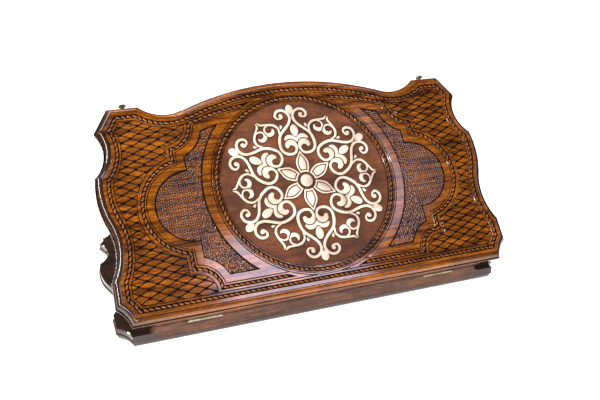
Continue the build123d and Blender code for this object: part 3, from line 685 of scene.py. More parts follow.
def depths_at(points):
    """The depth of the carving at each point, and which points belong to the matted grounds."""
    radius = np.hypot(points[:, 0], points[:, 1])
    depth = np.zeros(len(points))

    def cut(where, amount):
        depth[where] = np.maximum(depth[where], amount)

    def between(near, far):
        return (radius >= near - TOUCH) & (radius <= far + TOUCH)

    def band(lines, outer, inner):
        return inside(lines(outer - TOUCH), points) & ~inside(lines(inner + TOUCH), points)

    beyond_ring = radius >= RING_LINES[-1] + LINE_HALF
    cut(band(edge_line, ROPE_OUTER + WALL, ROPE_INNER - WALL), ROPE_DEPTH)
    cut(band(edge_line, LINE_INSET, LINE_INSET) & beyond_ring, LINE_DEPTH)
    rope = band(ground_line, -BORDER_FAR + WALL, -BORDER_NEAR - WALL)
    cut(rope & (radius >= BORDER_STOP_R + WALL - TOUCH), ROPE_DEPTH)
    in_edge_line = inside(edge_line(LINE_INSET), points)
    for middle in GROUND_LINES:
        cut(band(ground_line, middle, middle) & beyond_ring & in_edge_line, LINE_DEPTH)
    cut(between(RING_ROPE_IN + WALL, RING_ROPE_OUT - WALL), ROPE_DEPTH)
    for middle in RING_LINES:
        cut(between(middle, middle), LINE_DEPTH)
    sunk = inside(ground_line(WALL - TOUCH), points) & (radius >= RING_OUT_R + WALL - TOUCH)
    cut(sunk, GROUND_DEPTH)
    matted = inside(ground_line(MOAT_WIDTH + TOUCH), points) & (radius > RING_OUT_R + MOAT_WIDTH + TOUCH)
    field = in_lattice(points, -TOUCH)
    away = np.abs(points[:, 0]) - LATTICE_AT[0]
    for sign in (1, -1):
        rise = (points[:, 1] - LATTICE_AT[1] - sign * SLOPE * away) / LATTICE_HIGH
        gap = fraction_from_line(rise) * LATTICE_HIGH * LEAN
        groove = LATTICE_DEPTH * np.clip(1 - gap / LATTICE_HALF, 0, 1)
        depth = np.where(field, np.maximum(depth, groove), depth)
    for centre in LATTICE_DOTS:
        near = np.hypot(points[:, 0] - centre[0], points[:, 1] - centre[1]) <= DOT_R - WALL + TOUCH
        cut(near, DOT_DEPTH)
    return depth, matted


def carved_face():
    """The face inside the moulding: points with their heights, triangles and glaze."""
    points, faces = draw_face().fill()
    middles = points[faces].mean(axis=1)
    keep = inside(edge_line(FACE_INSET), middles) & (np.hypot(middles[:, 0], middles[:, 1]) > RECESS_R)
    faces = faces[keep]
    depth, matted = depths_at(points)
    solid = np.column_stack([points, HALF_HEIGHT - depth])
    return solid, faces, np.clip(depth / GLAZE_FULL, 0, 1), matted


face_points, face_faces, face_glaze, face_matted = carved_face()
print("carved face:", len(face_points), "points", len(face_faces), "triangles")

# %% [markdown]
# ## The moulded edge
# A quarter-round moulding runs round the whole board, with a small flat lip under it and a narrow dark
# groove between the two. It is one profile swept along the outline, so its rings of points are simply
# the insets of the outline at the profile's heights. It is painted almost black at the two ends, partly
# as a darker stain and partly as painted shade where the ends face away from the light.

# %% The profile of the edge
UNDER_H = 18.5
LIP_H = 20.2
OVOLO_H = 21.0
OVOLO_TOP_H = 30.4
QUIRK = 2.2
OVOLO_WIDTH = 7.4
OVOLO_STEPS = 9
# The moulding counts as an end where its outline faces sideways, by this much and more.
END_FROM, END_SPAN = 0.35, 0.4
END_LOOK_IN = 5.0
# How far in from the edge the dark of the ends reaches, how softly it fades, and how strong it is: a darker
# stain with painted shade.
STAIN_AND_SHADE_REACH, STAIN_AND_SHADE_FADE = 10.6, 0.4
STAIN_AND_SHADE_SHARE = 0.92
WELD = 0.004
INNER_SLOT, CUT_SLOT, MOULDING_SLOT = 1, 2, 3


def edge_profile():
    """Inset, height and glaze from the underside, round the lip and moulding, to the carved face."""
    profile = [(8.0, UNDER_H, 0), (0.5, UNDER_H, 0), (0.12, UNDER_H + 0.15, 0), (0, UNDER_H + 0.5, 0),
               (0, LIP_H, 0), (0.3, LIP_H + 0.5, 0), (0.8, OVOLO_H, 0.1),
               (QUIRK - 0.5, OVOLO_H - 0.1, 0.8), (QUIRK - 0.1, OVOLO_H - 0.3, 1)]
    for k in range(OVOLO_STEPS + 1):
        angle = math.pi / 2 * k / OVOLO_STEPS
        height = OVOLO_H + (OVOLO_TOP_H - OVOLO_H) * math.sin(angle)
        profile.append((QUIRK + OVOLO_WIDTH * (1 - math.cos(angle)), height, 0.7 if k == 0 else 0))
    profile += [(9.95, OVOLO_TOP_H - 0.15, 0.9), (10.3, OVOLO_TOP_H - 0.2, 1),
                (10.5, HALF_HEIGHT - 0.35, 0.5), (10.8, HALF_HEIGHT, 0), (FACE_INSET, HALF_HEIGHT, 0)]
    return profile


def board_mesh(name):
    """One closed carved board: swept edge, carved face, recess for the disc, and flat underside."""
    points, faces, glaze, burnt, mattes = [], [], [], [], []
    lip = np.array(edge_line(0))
    towards = np.array(edge_line(END_LOOK_IN)) - lip
    end_on = np.abs(towards[:, 0]) / np.hypot(towards[:, 0], towards[:, 1])
    end_dark = np.clip((end_on - END_FROM) / END_SPAN, 0, 1)
    count = len(lip)
    profile = edge_profile()
    for distance, height, dark in profile:
        points += [(x, y, height) for x, y in edge_line(distance)]
        glaze += [dark] * count
        # Dark ends of the moulding, where the outline faces sideways: a darker stain with painted shade.
        fade = np.clip((STAIN_AND_SHADE_REACH - distance) / STAIN_AND_SHADE_FADE, 0, 1)
        burnt += list(end_dark * fade * STAIN_AND_SHADE_SHARE * (height > UNDER_H))
    for ring in range(len(profile) - 1):
        for k in range(count):
            a, b = ring * count + k, ring * count + (k + 1) % count
            faces.append((a, b, b + count, a + count))
    mattes += [False] * len(points)
    first = len(points)
    points += [tuple(p) for p in face_points]
    glaze += list(face_glaze)
    burnt += [0.0] * len(face_points)
    mattes += list(face_matted)
    faces += [tuple(f + first) for f in face_faces]
    rim = circle(RECESS_R, RING_STEPS)
    for height, dark in ((HALF_HEIGHT, 0), (RECESS_FLOOR_H, 1)):
        points += [(x, y, height) for x, y in rim]
        glaze += [dark] * RING_STEPS
        burnt += [0.0] * RING_STEPS
        mattes += [False] * RING_STEPS
    low = len(points) - RING_STEPS
    top = low - RING_STEPS
    for k in range(RING_STEPS):
        ahead = (k + 1) % RING_STEPS
        faces.append((top + k, top + ahead, low + ahead, low + k))
    under = len(faces)
    faces.append(tuple(low + k for k in range(RING_STEPS)))
    faces.append(tuple(reversed(range(count))))
    moulded = np.zeros(len(points))
    on_edge = [height > UNDER_H and distance < FACE_INSET for distance, height, _ in profile]
    moulded[:first] = np.repeat(on_edge, count)
    mesh = mesh_of(name, points, faces, glaze=glaze, burnt=burnt, matted=np.array(mattes, float),
                   moulded=moulded)
    for material in (CARVED, INNER, CUT, MOULDING):
        mesh.materials.append(material)
    slots = np.zeros(len(faces), int)
    slots[:count] = INNER_SLOT
    slots[under + 1] = INNER_SLOT
    slots[count:count * (len(profile) - 3)] = MOULDING_SLOT
    soaked = np.array(face_glaze)[face_faces].mean(axis=1) > CUT_SHARE
    first_face = count * (len(profile) - 1)
    slots[first_face:first_face + len(face_faces)][soaked] = CUT_SLOT
    mesh.polygons.foreach_set("material_index", slots)
    work = bmesh.new()
    work.from_mesh(mesh)
    bmesh.ops.remove_doubles(work, verts=work.verts, dist=WELD)
    loose = [v for v in work.verts if not v.link_faces]
    bmesh.ops.delete(work, geom=loose, context="VERTS")
    bmesh.ops.triangulate(work, faces=[f for f in work.faces if len(f.verts) > 4])
    bmesh.ops.recalc_face_normals(work, faces=work.faces)
    print(name, "open edges:", sum(1 for e in work.edges if len(e.link_faces) != 2))
    work.to_mesh(mesh)
    work.free()
    return mesh


# %% [markdown]
# ## Punching the grounds with Geometry Nodes
# The carver mats the side grounds with a round punch: in columns in the outer lobes, and at random near
# the medallion. Hundreds of separate dents would be slow to draw, so a tree lays out the marks as points,
# measures how far each point of the ground is from the nearest mark, and presses the wood down there.
# The pitch of the marks is given as inputs of the tree.

# %% The tree of punch marks
def new_tree(name, numbers):
    """A Geometry Nodes tree with geometry in and out, and named inputs of given kinds."""
    tree = bpy.data.node_groups.new(name, "GeometryNodeTree")
    tree.interface.new_socket(name="Geometry", in_out="INPUT", socket_type="NodeSocketGeometry")
    for label, kind, value in numbers:
        socket = tree.interface.new_socket(name=label, in_out="INPUT", socket_type=kind)
        if value is not None:
            socket.default_value = value
    tree.interface.new_socket(name="Geometry", in_out="OUTPUT", socket_type="NodeSocketGeometry")
    return tree, tree.nodes.new("NodeGroupInput").outputs


def finished(tree, geometry, material=None):
    """Ends a tree: instances made real, and the material set where it is one for all."""
    real = add(tree, "GeometryNodeRealizeInstances", {0: geometry})
    if material is not None:
        real = add(tree, "GeometryNodeSetMaterial", {"Geometry": real, "Material": material})
    add(tree, "NodeGroupOutput", {0: real})


def grow(tree, seed, **values):
    """Runs a tree on a mesh and gives back a plain mesh."""
    obj = bpy.data.objects.new("seed", seed)
    scene.collection.objects.link(obj)
    modifier = obj.modifiers.new("grow", "NODES")
    modifier.node_group = tree
    for item in tree.interface.items_tree:
        key = item.name.replace(" ", "_").lower()
        if item.in_out == "INPUT" and key in values:
            modifier[item.identifier] = values[key]
    graph = bpy.context.evaluated_depsgraph_get()
    made = bpy.data.meshes.new_from_object(obj.evaluated_get(graph), preserve_all_data_layers=True,
                                           depsgraph=graph)
    bpy.data.objects.remove(obj)
    return made


SHEET_WIDE, SHEET_DEEP = 460.0, 250.0
COLUMN_SHIFT = 0.25
GLAZE_IN_DENT, GLAZE_BETWEEN = 0.95, 0.07


def punch_tree():
    """Presses punch marks into the points that carry the matted number."""
    tree, given = new_tree("punched_ground", [
        ("Column Pitch", "NodeSocketFloat", 3.2), ("Row Pitch", "NodeSocketFloat", 3.7),
        ("Fine Pitch", "NodeSocketFloat", 3.2), ("Jitter", "NodeSocketFloat", 0.9),
        ("Radius", "NodeSocketFloat", 1.5), ("Depth", "NodeSocketFloat", 0.75),
        ("Lobe Start", "NodeSocketFloat", 166.0), ("Material", "NodeSocketMaterial", None),
    ])
    sheets = []
    for across, down, wobble, seed, outer in (("Column Pitch", "Row Pitch", 0.3, 3, True),
                                              ("Fine Pitch", "Fine Pitch", 1.0, 7, False)):
        many = [add(tree, "ShaderNodeMath", {0: size, 1: given[pitch]}, operation="DIVIDE")
                for size, pitch in ((SHEET_WIDE, across), (SHEET_DEEP, down))]
        sheet = add(tree, "GeometryNodeMeshGrid", {
            "Size X": SHEET_WIDE, "Size Y": SHEET_DEEP, "Vertices X": many[0], "Vertices Y": many[1],
        })
        place = add(tree, "GeometryNodeInputPosition")
        parts = add(tree, "ShaderNodeSeparateXYZ", {0: place})
        column = add(tree, "ShaderNodeMath", {0: parts.outputs["X"], 1: given[across]}, operation="DIVIDE")
        whole = add(tree, "ShaderNodeMath", {0: column}, operation="ROUND")
        odd = add(tree, "ShaderNodeMath", {0: whole, 1: 2.0}, operation="PINGPONG")
        shift = add(tree, "ShaderNodeMath", {0: odd, 1: COLUMN_SHIFT}, operation="MULTIPLY")
        rise = add(tree, "ShaderNodeMath", {0: shift, 1: given[down]}, operation="MULTIPLY")
        stir = add(tree, "ShaderNodeMath", {0: given["Jitter"], 1: wobble}, operation="MULTIPLY")
        low = add(tree, "ShaderNodeMath", {0: stir, 1: -1.0}, operation="MULTIPLY")
        reach = [add(tree, "ShaderNodeCombineXYZ", {"X": end, "Y": end}) for end in (low, stir)]
        random = add(tree, "FunctionNodeRandomValue", {0: reach[0], 1: reach[1], "Seed": seed},
                     data_type="FLOAT_VECTOR")
        lift = add(tree, "ShaderNodeCombineXYZ", {"Y": rise})
        move = add(tree, "ShaderNodeVectorMath", {0: random, 1: lift}, operation="ADD")
        moved = add(tree, "GeometryNodeSetPosition", {"Geometry": sheet, "Offset": move})
        away = add(tree, "ShaderNodeMath", {0: parts.outputs["X"]}, operation="ABSOLUTE")
        beyond = "LESS_THAN" if outer else "GREATER_THAN"
        drop = add(tree, "ShaderNodeMath", {0: away, 1: given["Lobe Start"]}, operation=beyond)
        cut = add(tree, "GeometryNodeDeleteGeometry", {"Geometry": moved, "Selection": drop}, domain="POINT")
        sheets.append(cut)
    marks = add(tree, "GeometryNodeJoinGeometry")
    for sheet in sheets:
        tree.links.new(sheet.outputs[0], marks.inputs[0])
    here = add(tree, "ShaderNodeSeparateXYZ", {0: add(tree, "GeometryNodeInputPosition")})
    flat = add(tree, "ShaderNodeCombineXYZ", {"X": here.outputs["X"], "Y": here.outputs["Y"]})
    near = add(tree, "GeometryNodeProximity", {0: marks, "Sample Position": flat}, target_element="POINTS")
    share = add(tree, "ShaderNodeMapRange", {
        "Value": near.outputs["Distance"], "From Max": given["Radius"], "To Min": 1.0, "To Max": 0.0,
    }, interpolation_type="SMOOTHSTEP")
    matted = add(tree, "GeometryNodeInputNamedAttribute", {"Name": "matted"}, data_type="FLOAT")
    chosen = add(tree, "ShaderNodeMath", {0: matted, 1: 0.5}, operation="GREATER_THAN")
    press = add(tree, "ShaderNodeMath", {0: share, 1: given["Depth"]}, operation="MULTIPLY")
    down_by = add(tree, "ShaderNodeMath", {0: press, 1: -1.0}, operation="MULTIPLY")
    offset = add(tree, "ShaderNodeCombineXYZ", {"Z": down_by})
    stained = add(tree, "ShaderNodeMapRange",
                  {"Value": share, "To Min": GLAZE_BETWEEN, "To Max": GLAZE_IN_DENT})
    marked = add(tree, "GeometryNodeStoreNamedAttribute", {
        "Geometry": given["Geometry"], "Selection": chosen, "Name": "glaze", "Value": stained,
    }, data_type="FLOAT", domain="POINT")
    pressed = add(tree, "GeometryNodeSetPosition",
                  {"Geometry": marked, "Selection": chosen, "Offset": offset})
    dressed = add(tree, "GeometryNodeSetMaterial",
                  {"Geometry": pressed, "Selection": chosen, "Material": given["Material"]})
    finished(tree, dressed)
    return tree


PUNCH = punch_tree()
board = grow(PUNCH, board_mesh("carved_board"), radius=1.5, depth=0.8, material=CARVED)
board.shade_smooth()
board.set_sharp_from_angle(angle=math.radians(32))


def moulding_in_painted_shade(mesh):
    """The board with painted shade all round its moulding, for the base, whose moulding faces the table."""
    burnt = np.zeros(len(mesh.vertices), np.float32)
    moulded = np.zeros(len(mesh.vertices), np.float32)
    mesh.attributes["burnt"].data.foreach_get("value", burnt)
    mesh.attributes["moulded"].data.foreach_get("value", moulded)
    mesh.attributes["burnt"].data.foreach_set("value", np.maximum(burnt, moulded * 0.9))
    return mesh


piece("lid_carved_board", board.copy(), "lid", ["lid_panel"], IN_LID)
# The base's moulding gets painted shade all round.
piece("base_carved_board", moulding_in_painted_shade(board.copy()), "base", ["base_panel"], IN_BASE)

# %% [markdown]
# ## Rope beading with Geometry Nodes
# The three channels hold a carved rope: one slanted, S-shaped strand stands at every 7.8 mm, and the
# gouged wood between them keeps the dark stain. Real strands differ a little from each other. A tree
# walks along each channel's middle line, sets one strand at every step and turns it to follow the line.

# %% The tree of rope beads
def rope_tree():
    """One S-shaped strand at every step along the edges of a mesh."""
    tree, given = new_tree("rope_beading", [
        ("Pitch", "NodeSocketFloat", 7.8), ("Strand Length", "NodeSocketFloat", 8.0),
        ("Strand Width", "NodeSocketFloat", 3.5), ("Strand Height", "NodeSocketFloat", 1.4),
        ("Bend", "NodeSocketFloat", 0.75), ("Slant", "NodeSocketFloat", -0.62),
        ("Material", "NodeSocketMaterial", None),
    ])
    path = add(tree, "GeometryNodeMeshToCurve", {0: given["Geometry"]})
    steps = add(tree, "GeometryNodeCurveToPoints", {"Curve": path, "Length": given["Pitch"]}, mode="LENGTH")
    facing = add(tree, "FunctionNodeAlignRotationToVector", {"Vector": steps.outputs["Tangent"]},
                 axis="X", pivot_axis="Z")
    ball = add(tree, "GeometryNodeMeshUVSphere", {"Segments": 10, "Rings": 7, "Radius": 0.5})
    place = add(tree, "ShaderNodeSeparateXYZ", {0: add(tree, "GeometryNodeInputPosition")})
    turn = add(tree, "ShaderNodeMath", {0: place.outputs["X"], 1: 2 * math.pi}, operation="MULTIPLY")
    wave = add(tree, "ShaderNodeMath", {0: turn}, operation="SINE")
    along = add(tree, "ShaderNodeMath", {0: wave, 1: 0.25}, operation="MULTIPLY")
    sway = add(tree, "ShaderNodeMath", {0: along, 1: given["Bend"]}, operation="MULTIPLY")
    aside = add(tree, "ShaderNodeCombineXYZ", {"Y": sway})
    bent = add(tree, "GeometryNodeSetPosition", {"Geometry": ball, "Offset": aside})
    tall = add(tree, "ShaderNodeMath", {0: given["Strand Height"], 1: 2.0}, operation="MULTIPLY")
    size = add(tree, "ShaderNodeCombineXYZ",
               {"X": given["Strand Length"], "Y": given["Strand Width"], "Z": tall})
    spin = add(tree, "ShaderNodeCombineXYZ", {"Z": given["Slant"]})
    strand = add(tree, "GeometryNodeTransform", {"Geometry": bent, "Rotation": spin, "Scale": size})
    smooth = add(tree, "GeometryNodeSetShadeSmooth", {0: strand})
    placed = add(tree, "GeometryNodeInstanceOnPoints",
                 {"Points": steps.outputs["Points"], "Instance": smooth, "Rotation": facing})
    finished(tree, placed, given["Material"])
    return tree


def wire(runs):
    """A mesh of edges only, from runs of points at the height of the channel's floor."""
    points, edges = [], []
    for run, closed in runs:
        first, count = len(points), len(run)
        points += [(x, y, HALF_HEIGHT - ROPE_DEPTH + 0.1) for x, y in run]
        edges += [(first + k, first + (k + 1) % count) for k in range(count if closed else count - 1)]
    mesh = bpy.data.meshes.new("run")
    mesh.from_pydata(points, edges, [])
    return mesh


def open_runs(points, keep):
    """The stretches of a closed line where a test holds."""
    held = [keep(p) for p in points]
    start = held.index(False)
    order = [(start + k) % len(points) for k in range(len(points))]
    runs, run = [], []
    for k in order:
        if held[k]:
            run.append(points[k])
        elif run:
            runs.append((run, False))
            run = []
    return runs + ([(run, False)] if run else [])


RING_ROPE_STEPS = 240
ROPE_END_GAP = 3
ROPE_TREE = rope_tree()
rope_runs = [
    (edge_line((ROPE_OUTER + ROPE_INNER) / 2), True),
    (circle((RING_ROPE_IN + RING_ROPE_OUT) / 2, RING_ROPE_STEPS), True),
]
rope_runs += open_runs(ground_line(-(BORDER_NEAR + BORDER_FAR) / 2),
                       lambda p: math.hypot(*p) > BORDER_STOP_R + ROPE_END_GAP)
for half, place in PLACES.items():
    beads = grow(ROPE_TREE, wire(rope_runs), material=ROPE)
    piece(f"{half}_rope_beading", beads, half, (), place)

# %% [markdown]
# ## The rosette
# The rosette is sawn from pale maple and let into the disc. Its ribbons overlap and swell, which is
# hard to draw as outlines but easy as a distance: each ribbon is a chain of tapered strokes, and a
# point belongs to the wood where it is nearer than half the stroke's width. Because the pattern is
# six-fold and mirrored, every point is first folded into one twelfth of the circle. Level lines of that
# distance give clean edges, and three of them at rising heights give each edge its soft round.

# %% Strokes of the rosette
LOBE = [
    (-16.4, -56.0, 6.6), (-15.0, -59.6, 8.6), (-10.5, -61.8, 9.6), (-6.0, -60.2, 8.6),
    (-3.4, -56.6, 6.2), (-2.7, -52.0, 4.6),
]
HEART = LOBE + [
    (-4.6, -46.8, 4.4), (-8.4, -43.9, 4.5), (-13.0, -43.2, 4.6), (-18.6, -44.2, 4.6),
    (-23.6, -47.4, 4.6), (-26.6, -52.6, 4.8), (-27.2, -58.5, 5.0), (-26.6, -65.0, 5.0),
    (-24.8, -71.4, 4.8), (-21.2, -77.2, 4.6), (-16.6, -81.8, 4.8), (-11.2, -86.6, 4.8),
    (-6.6, -91.6, 4.6), (-3.6, -97.0, 4.6), (-2.7, -102.6, 4.6), (-4.6, -108.2, 4.6),
    (-8.6, -112.4, 4.6), (-13.8, -114.4, 4.6), (-19.6, -113.4, 4.6), (-23.6, -109.6, 4.6),
    (-24.6, -104.8, 4.4), (-22.2, -101.4, 3.9), (-18.2, -100.9, 3.4), (-15.2, -102.6, 4.8),
    (-15.9, -105.2, 7.2),
]
LEAF = [
    (-24.0, -76.0, 3.4), (-23.8, -81.0, 3.4), (-24.1, -85.0, 3.6), (-26.3, -88.4, 4.0),
    (-30.0, -91.5, 4.4), (-35.0, -92.9, 4.2), (-40.0, -93.4, 4.0), (-45.0, -93.7, 3.4),
    (-50.0, -93.9, 3.8), (-53.3, -95.6, 3.4), (-56.0, -98.4, 1.4),
]
CURL = [
    (-40.5, -91.5, 2.6), (-44.0, -89.8, 3.0), (-46.0, -86.0, 3.3), (-45.6, -81.5, 3.8),
    (-42.7, -78.2, 5.6), (-38.5, -77.4, 6.6), (-34.4, -79.6, 6.4), (-33.0, -83.5, 4.2),
    (-34.0, -87.0, 1.2),
]
KNOB = [
    (0.0, -106.3, 1.4), (0.0, -110.5, 5.4), (0.0, -114.8, 12.0), (0.0, -117.5, 9.8),
    (0.0, -119.6, 5.5),
]
THORN = [
    (-21.2, -83.2, 0.9), (-20.0, -86.4, 3.6), (-19.3, -88.3, 4.8),
]
LOWER_LOBE = [
    (-16.2, -67.6, 5.8), (-13.0, -70.0, 7.6), (-8.5, -70.6, 7.4), (-4.0, -68.0, 7.0),
    (0.0, -64.5, 7.0),
]
LOWER_EDGE_Y = -74.4
NOTCH = [(-5.0, -75.5, 1.6), (-1.2, -70.2, 0.8)]
DROP = [(0.0, -71.5, 2.6), (0.0, -75.5, 8.6), (0.0, -80.5, 12.4), (0.0, -84.5, 10.6), (0.0, -87.0, 6.5)]
PETAL_Y = (12.4, 20.0, 26.0, 30.0, 35.0, 40.0, 44.0, 47.6)
PETAL_HALF = (6.6, 9.3, 10.2, 9.9, 7.9, 4.7, 2.4, 0.0)
PETAL_ROOT_R = 13.5
PETAL_RIM = 3.4
GROOVE = 0.95
FOLD = math.pi / 6


def smooth_run(points, steps=5):
    """A finer chain through the points of a stroke, as a Catmull-Rom curve."""
    pts = np.array(points)
    ends = np.vstack([2 * pts[0] - pts[1], pts, 2 * pts[-1] - pts[-2]])
    made = []
    for k in range(len(pts) - 1):
        p0, p1, p2, p3 = ends[k:k + 4]
        for t in np.arange(steps) / steps:
            made.append(0.5 * (2 * p1 + (p2 - p0) * t + (2 * p0 - 5 * p1 + 4 * p2 - p3) * t ** 2
                               + (3 * p1 - p0 - 3 * p2 + p3) * t ** 3))
    return np.vstack(made + [pts[-1]])


def folded(x, y):
    """Every point brought into the twelfth beside the spoke that points to -y."""
    angle = np.arctan2(x, -y)
    turn = np.abs((angle + FOLD) % (2 * FOLD) - FOLD)
    radius = np.hypot(x, y)
    return -radius * np.sin(turn), -radius * np.cos(turn)


def stroke_distance(px, py, stroke):
    """The distance of points from the edge of one tapered stroke, negative inside it."""
    chain = smooth_run(stroke)
    best = np.full(px.shape, 1e3, np.float32)
    for (ax, ay, aw), (bx, by, bw) in zip(chain[:-1], chain[1:]):
        dx, dy = bx - ax, by - ay
        t = np.clip(((px - ax) * dx + (py - ay) * dy) / (dx * dx + dy * dy), 0, 1)
        gap = np.hypot(px - ax - t * dx, py - ay - t * dy) - (aw + (bw - aw) * t) / 2
        best = np.minimum(best, gap)
    return best


def petal_distance(px, py):
    """A pointed petal with an inner leaf marked by a groove."""
    half = np.interp(-py, PETAL_Y, PETAL_HALF)
    body = np.maximum(np.abs(px) - half, -py - PETAL_Y[-1]) * 0.9
    body = np.maximum(body, PETAL_ROOT_R - np.hypot(px, py))
    return np.maximum(body, GROOVE / 2 - np.abs(body + PETAL_RIM))


# %% [markdown]
# ## From a distance to a solid
# The distance is measured on a fine net over the disc. Marching over its cells gives the line where it
# has one value, as a contour line is found on a map. The lines go into a triangulation, and the height
# rises from the edge inwards, so every ribbon gets a soft edge, as a sanded inlay has.

# %% Level lines and solid inlays
CELL = 0.62
REACH = 124.0


def grid_of():
    """The net of sample points over the disc."""
    ticks = np.arange(-REACH, REACH + CELL, CELL, dtype=np.float32)
    return ticks, np.meshgrid(ticks, ticks, indexing="ij")


def level_lines(field, ticks, level, plan):
    """Adds the line where a field has one value to a plan, by marching over the cells of the net."""
    value = field - level
    above = value > 0
    first = len(plan.points)
    rows = above[1:, :] != above[:-1, :]
    columns = above[:, 1:] != above[:, :-1]
    row_id = np.full(rows.shape, -1)
    column_id = np.full(columns.shape, -1)
    i, j = np.nonzero(rows)
    t = value[i, j] / (value[i, j] - value[i + 1, j])
    row_id[i, j] = first + np.arange(len(i))
    found = list(zip(ticks[i] + t * CELL, ticks[j]))
    i, j = np.nonzero(columns)
    t = value[i, j] / (value[i, j] - value[i, j + 1])
    column_id[i, j] = first + len(found) + np.arange(len(i))
    found += list(zip(ticks[i], ticks[j] + t * CELL))
    plan.points += [(float(x), float(y)) for x, y in found]
    south, north = row_id[:, :-1], row_id[:, 1:]
    west, east = column_id[:-1, :], column_id[1:, :]
    sides = np.stack([south, east, north, west], axis=-1)
    crossed = (sides >= 0).sum(axis=-1)
    for i, j in zip(*np.nonzero(crossed == 2)):
        a, b = [int(s) for s in sides[i, j] if s >= 0]
        plan.lines.append((a, b))
    for i, j in zip(*np.nonzero(crossed == 4)):
        s, e, n, w = [int(v) for v in sides[i, j]]
        middle = value[i:i + 2, j:j + 2].mean() > 0
        pairs = ((s, w), (n, e)) if middle != above[i, j] else ((s, e), (n, w))
        plan.lines.extend(pairs)


def sample(field, ticks, points):
    """The field's value at any points, between the samples of the net."""
    at = (points - ticks[0]) / CELL
    low = np.clip(np.floor(at).astype(int), 0, len(ticks) - 2)
    t = at - low
    i, j = low[:, 0], low[:, 1]
    a = field[i, j] * (1 - t[:, 0]) + field[i + 1, j] * t[:, 0]
    b = field[i, j + 1] * (1 - t[:, 0]) + field[i + 1, j + 1] * t[:, 0]
    return a * (1 - t[:, 1]) + b * t[:, 1]


DISC_TOP_H = 30.0
EDGE_STEPS = [(0.0, 0.0, 1.0), (-0.18, 1.1, 0.6), (-0.6, 1.5, 0.0)]
OUTLINE_WIDTH = 0.75
OUTLINE_LIFT = 0.06
INLAY_WELD = 0.002
INLAY_SHARP_ANGLE = 50
BOSS_R = 9.7


def inlay_mesh(name, field, ticks):
    """Solid inlays from a distance field: soft-edged tops on flat bottoms."""
    plan = Plan()
    for level, _, _ in EDGE_STEPS:
        level_lines(field, ticks, level, plan)
    points, faces = plan.fill()
    faces = faces[sample(field, ticks, points[faces].mean(axis=1)) < 0]
    depth = -sample(field, ticks, points)
    inward = [-level for level, _, _ in EDGE_STEPS]
    height = DISC_TOP_H + np.interp(depth, inward, [h for _, h, _ in EDGE_STEPS])
    glaze = np.interp(depth, inward, [g for _, _, g in EDGE_STEPS])
    ground = Plan()
    level_lines(field, ticks, 0.0, ground)
    under_points, under_faces = ground.fill()
    under_faces = under_faces[sample(field, ticks, under_points[under_faces].mean(axis=1)) < 0]
    bottom = np.full(len(under_points), DISC_TOP_H)
    solid = np.vstack([np.column_stack([points, height]), np.column_stack([under_points, bottom])])
    both = list(faces) + [tuple(reversed(f)) for f in under_faces + len(points)]
    mesh = mesh_of(name, solid, both, glaze=np.concatenate([glaze, np.ones(len(under_points))]))
    work = bmesh.new()
    work.from_mesh(mesh)
    bmesh.ops.remove_doubles(work, verts=work.verts, dist=INLAY_WELD)
    bmesh.ops.delete(work, geom=[v for v in work.verts if not v.link_faces], context="VERTS")
    work.to_mesh(mesh)
    work.free()
    mesh.shade_smooth()
    mesh.set_sharp_from_angle(angle=math.radians(INLAY_SHARP_ANGLE))
    mesh.materials.append(MAPLE_INLAY)
    return mesh


ticks, (grid_x, grid_y) = grid_of()
fold_x, fold_y = folded(grid_x, grid_y)
bisector_gap = np.hypot(fold_x, fold_y) * np.sin(FOLD - np.arctan2(-fold_x, -fold_y))
heart = stroke_distance(fold_x, fold_y, HEART)
sprays = np.minimum.reduce([stroke_distance(fold_x, fold_y, s) for s in (LEAF, CURL)])
sprays = np.maximum(sprays, GROOVE / 2 - bisector_gap)
thorn = np.maximum(stroke_distance(fold_x, fold_y, THORN), GROOVE - np.minimum(heart, sprays))
fretwork = np.minimum.reduce([heart, sprays, thorn, stroke_distance(fold_x, fold_y, KNOB)])
upper_lobe = stroke_distance(fold_x, fold_y, LOBE)
lower = np.maximum(stroke_distance(fold_x, fold_y, LOWER_LOBE), GROOVE - upper_lobe)
lower = np.maximum(lower, LOWER_EDGE_Y - fold_y)
lower = np.maximum(lower, -stroke_distance(fold_x, fold_y, NOTCH))
palmettes = np.minimum(lower, stroke_distance(fold_x, fold_y, DROP))
palmettes = np.maximum(palmettes, GROOVE * 0.8 - fretwork)
petals = petal_distance(fold_x, fold_y)
boss = np.hypot(grid_x, grid_y) - BOSS_R
for half, place in PLACES.items():
    for part, field in (("fretwork", fretwork), ("palmettes", palmettes), ("petals", petals), ("boss", boss)):
        inlays = inlay_mesh(f"{half}_{part}", field, ticks)
        piece(f"{half}_rosette_{part}_inlay", inlays, half, [f"{half}_rosette_{part}"], place)


# %% [markdown]
# ## The dark outline
# A thin dark line runs round the outside of every inlay and sets it off from the disc.
# It is the band between the inlay's edge and a level line a little further out, laid just above the disc.

# %% The dark line round every inlay
def outline_band_mesh(field, ticks):
    """A thin dark band round the outside of the inlays."""
    plan = Plan()
    level_lines(field, ticks, 0.0, plan)
    level_lines(field, ticks, OUTLINE_WIDTH, plan)
    points, faces = plan.fill()
    middle = sample(field, ticks, points[faces].mean(axis=1))
    faces = faces[(middle > 0) & (middle < OUTLINE_WIDTH)]
    solid = np.column_stack([points, np.full(len(points), DISC_TOP_H + OUTLINE_LIFT)])
    mesh = mesh_of("burnt_line", solid, faces)
    mesh.materials.append(OUTLINE_DARK)
    return mesh


all_inlays = np.minimum.reduce([fretwork, palmettes, petals, boss])
for half, place in PLACES.items():
    piece(f"{half}_burnt_outline", outline_band_mesh(all_inlays, ticks), half, (), place)

# %% [markdown]
# ## Checkers
# A checker is turned on a lathe: a rounded rim, a bead and a dish on both faces. One profile is spun
# into a mesh, and a tree sets it at every place in the piles.

# %% Turned checkers
CHECKER_R = 17.0
CHECKER_THICK = 7.4
CHECKER_PITCH = 36.0
FIELD_TOP_Z = 16.0
TURNED_STEPS = 40
CHECKERS_EACH = 15
PILE_X, PILE_Y = 217.0, 96.0


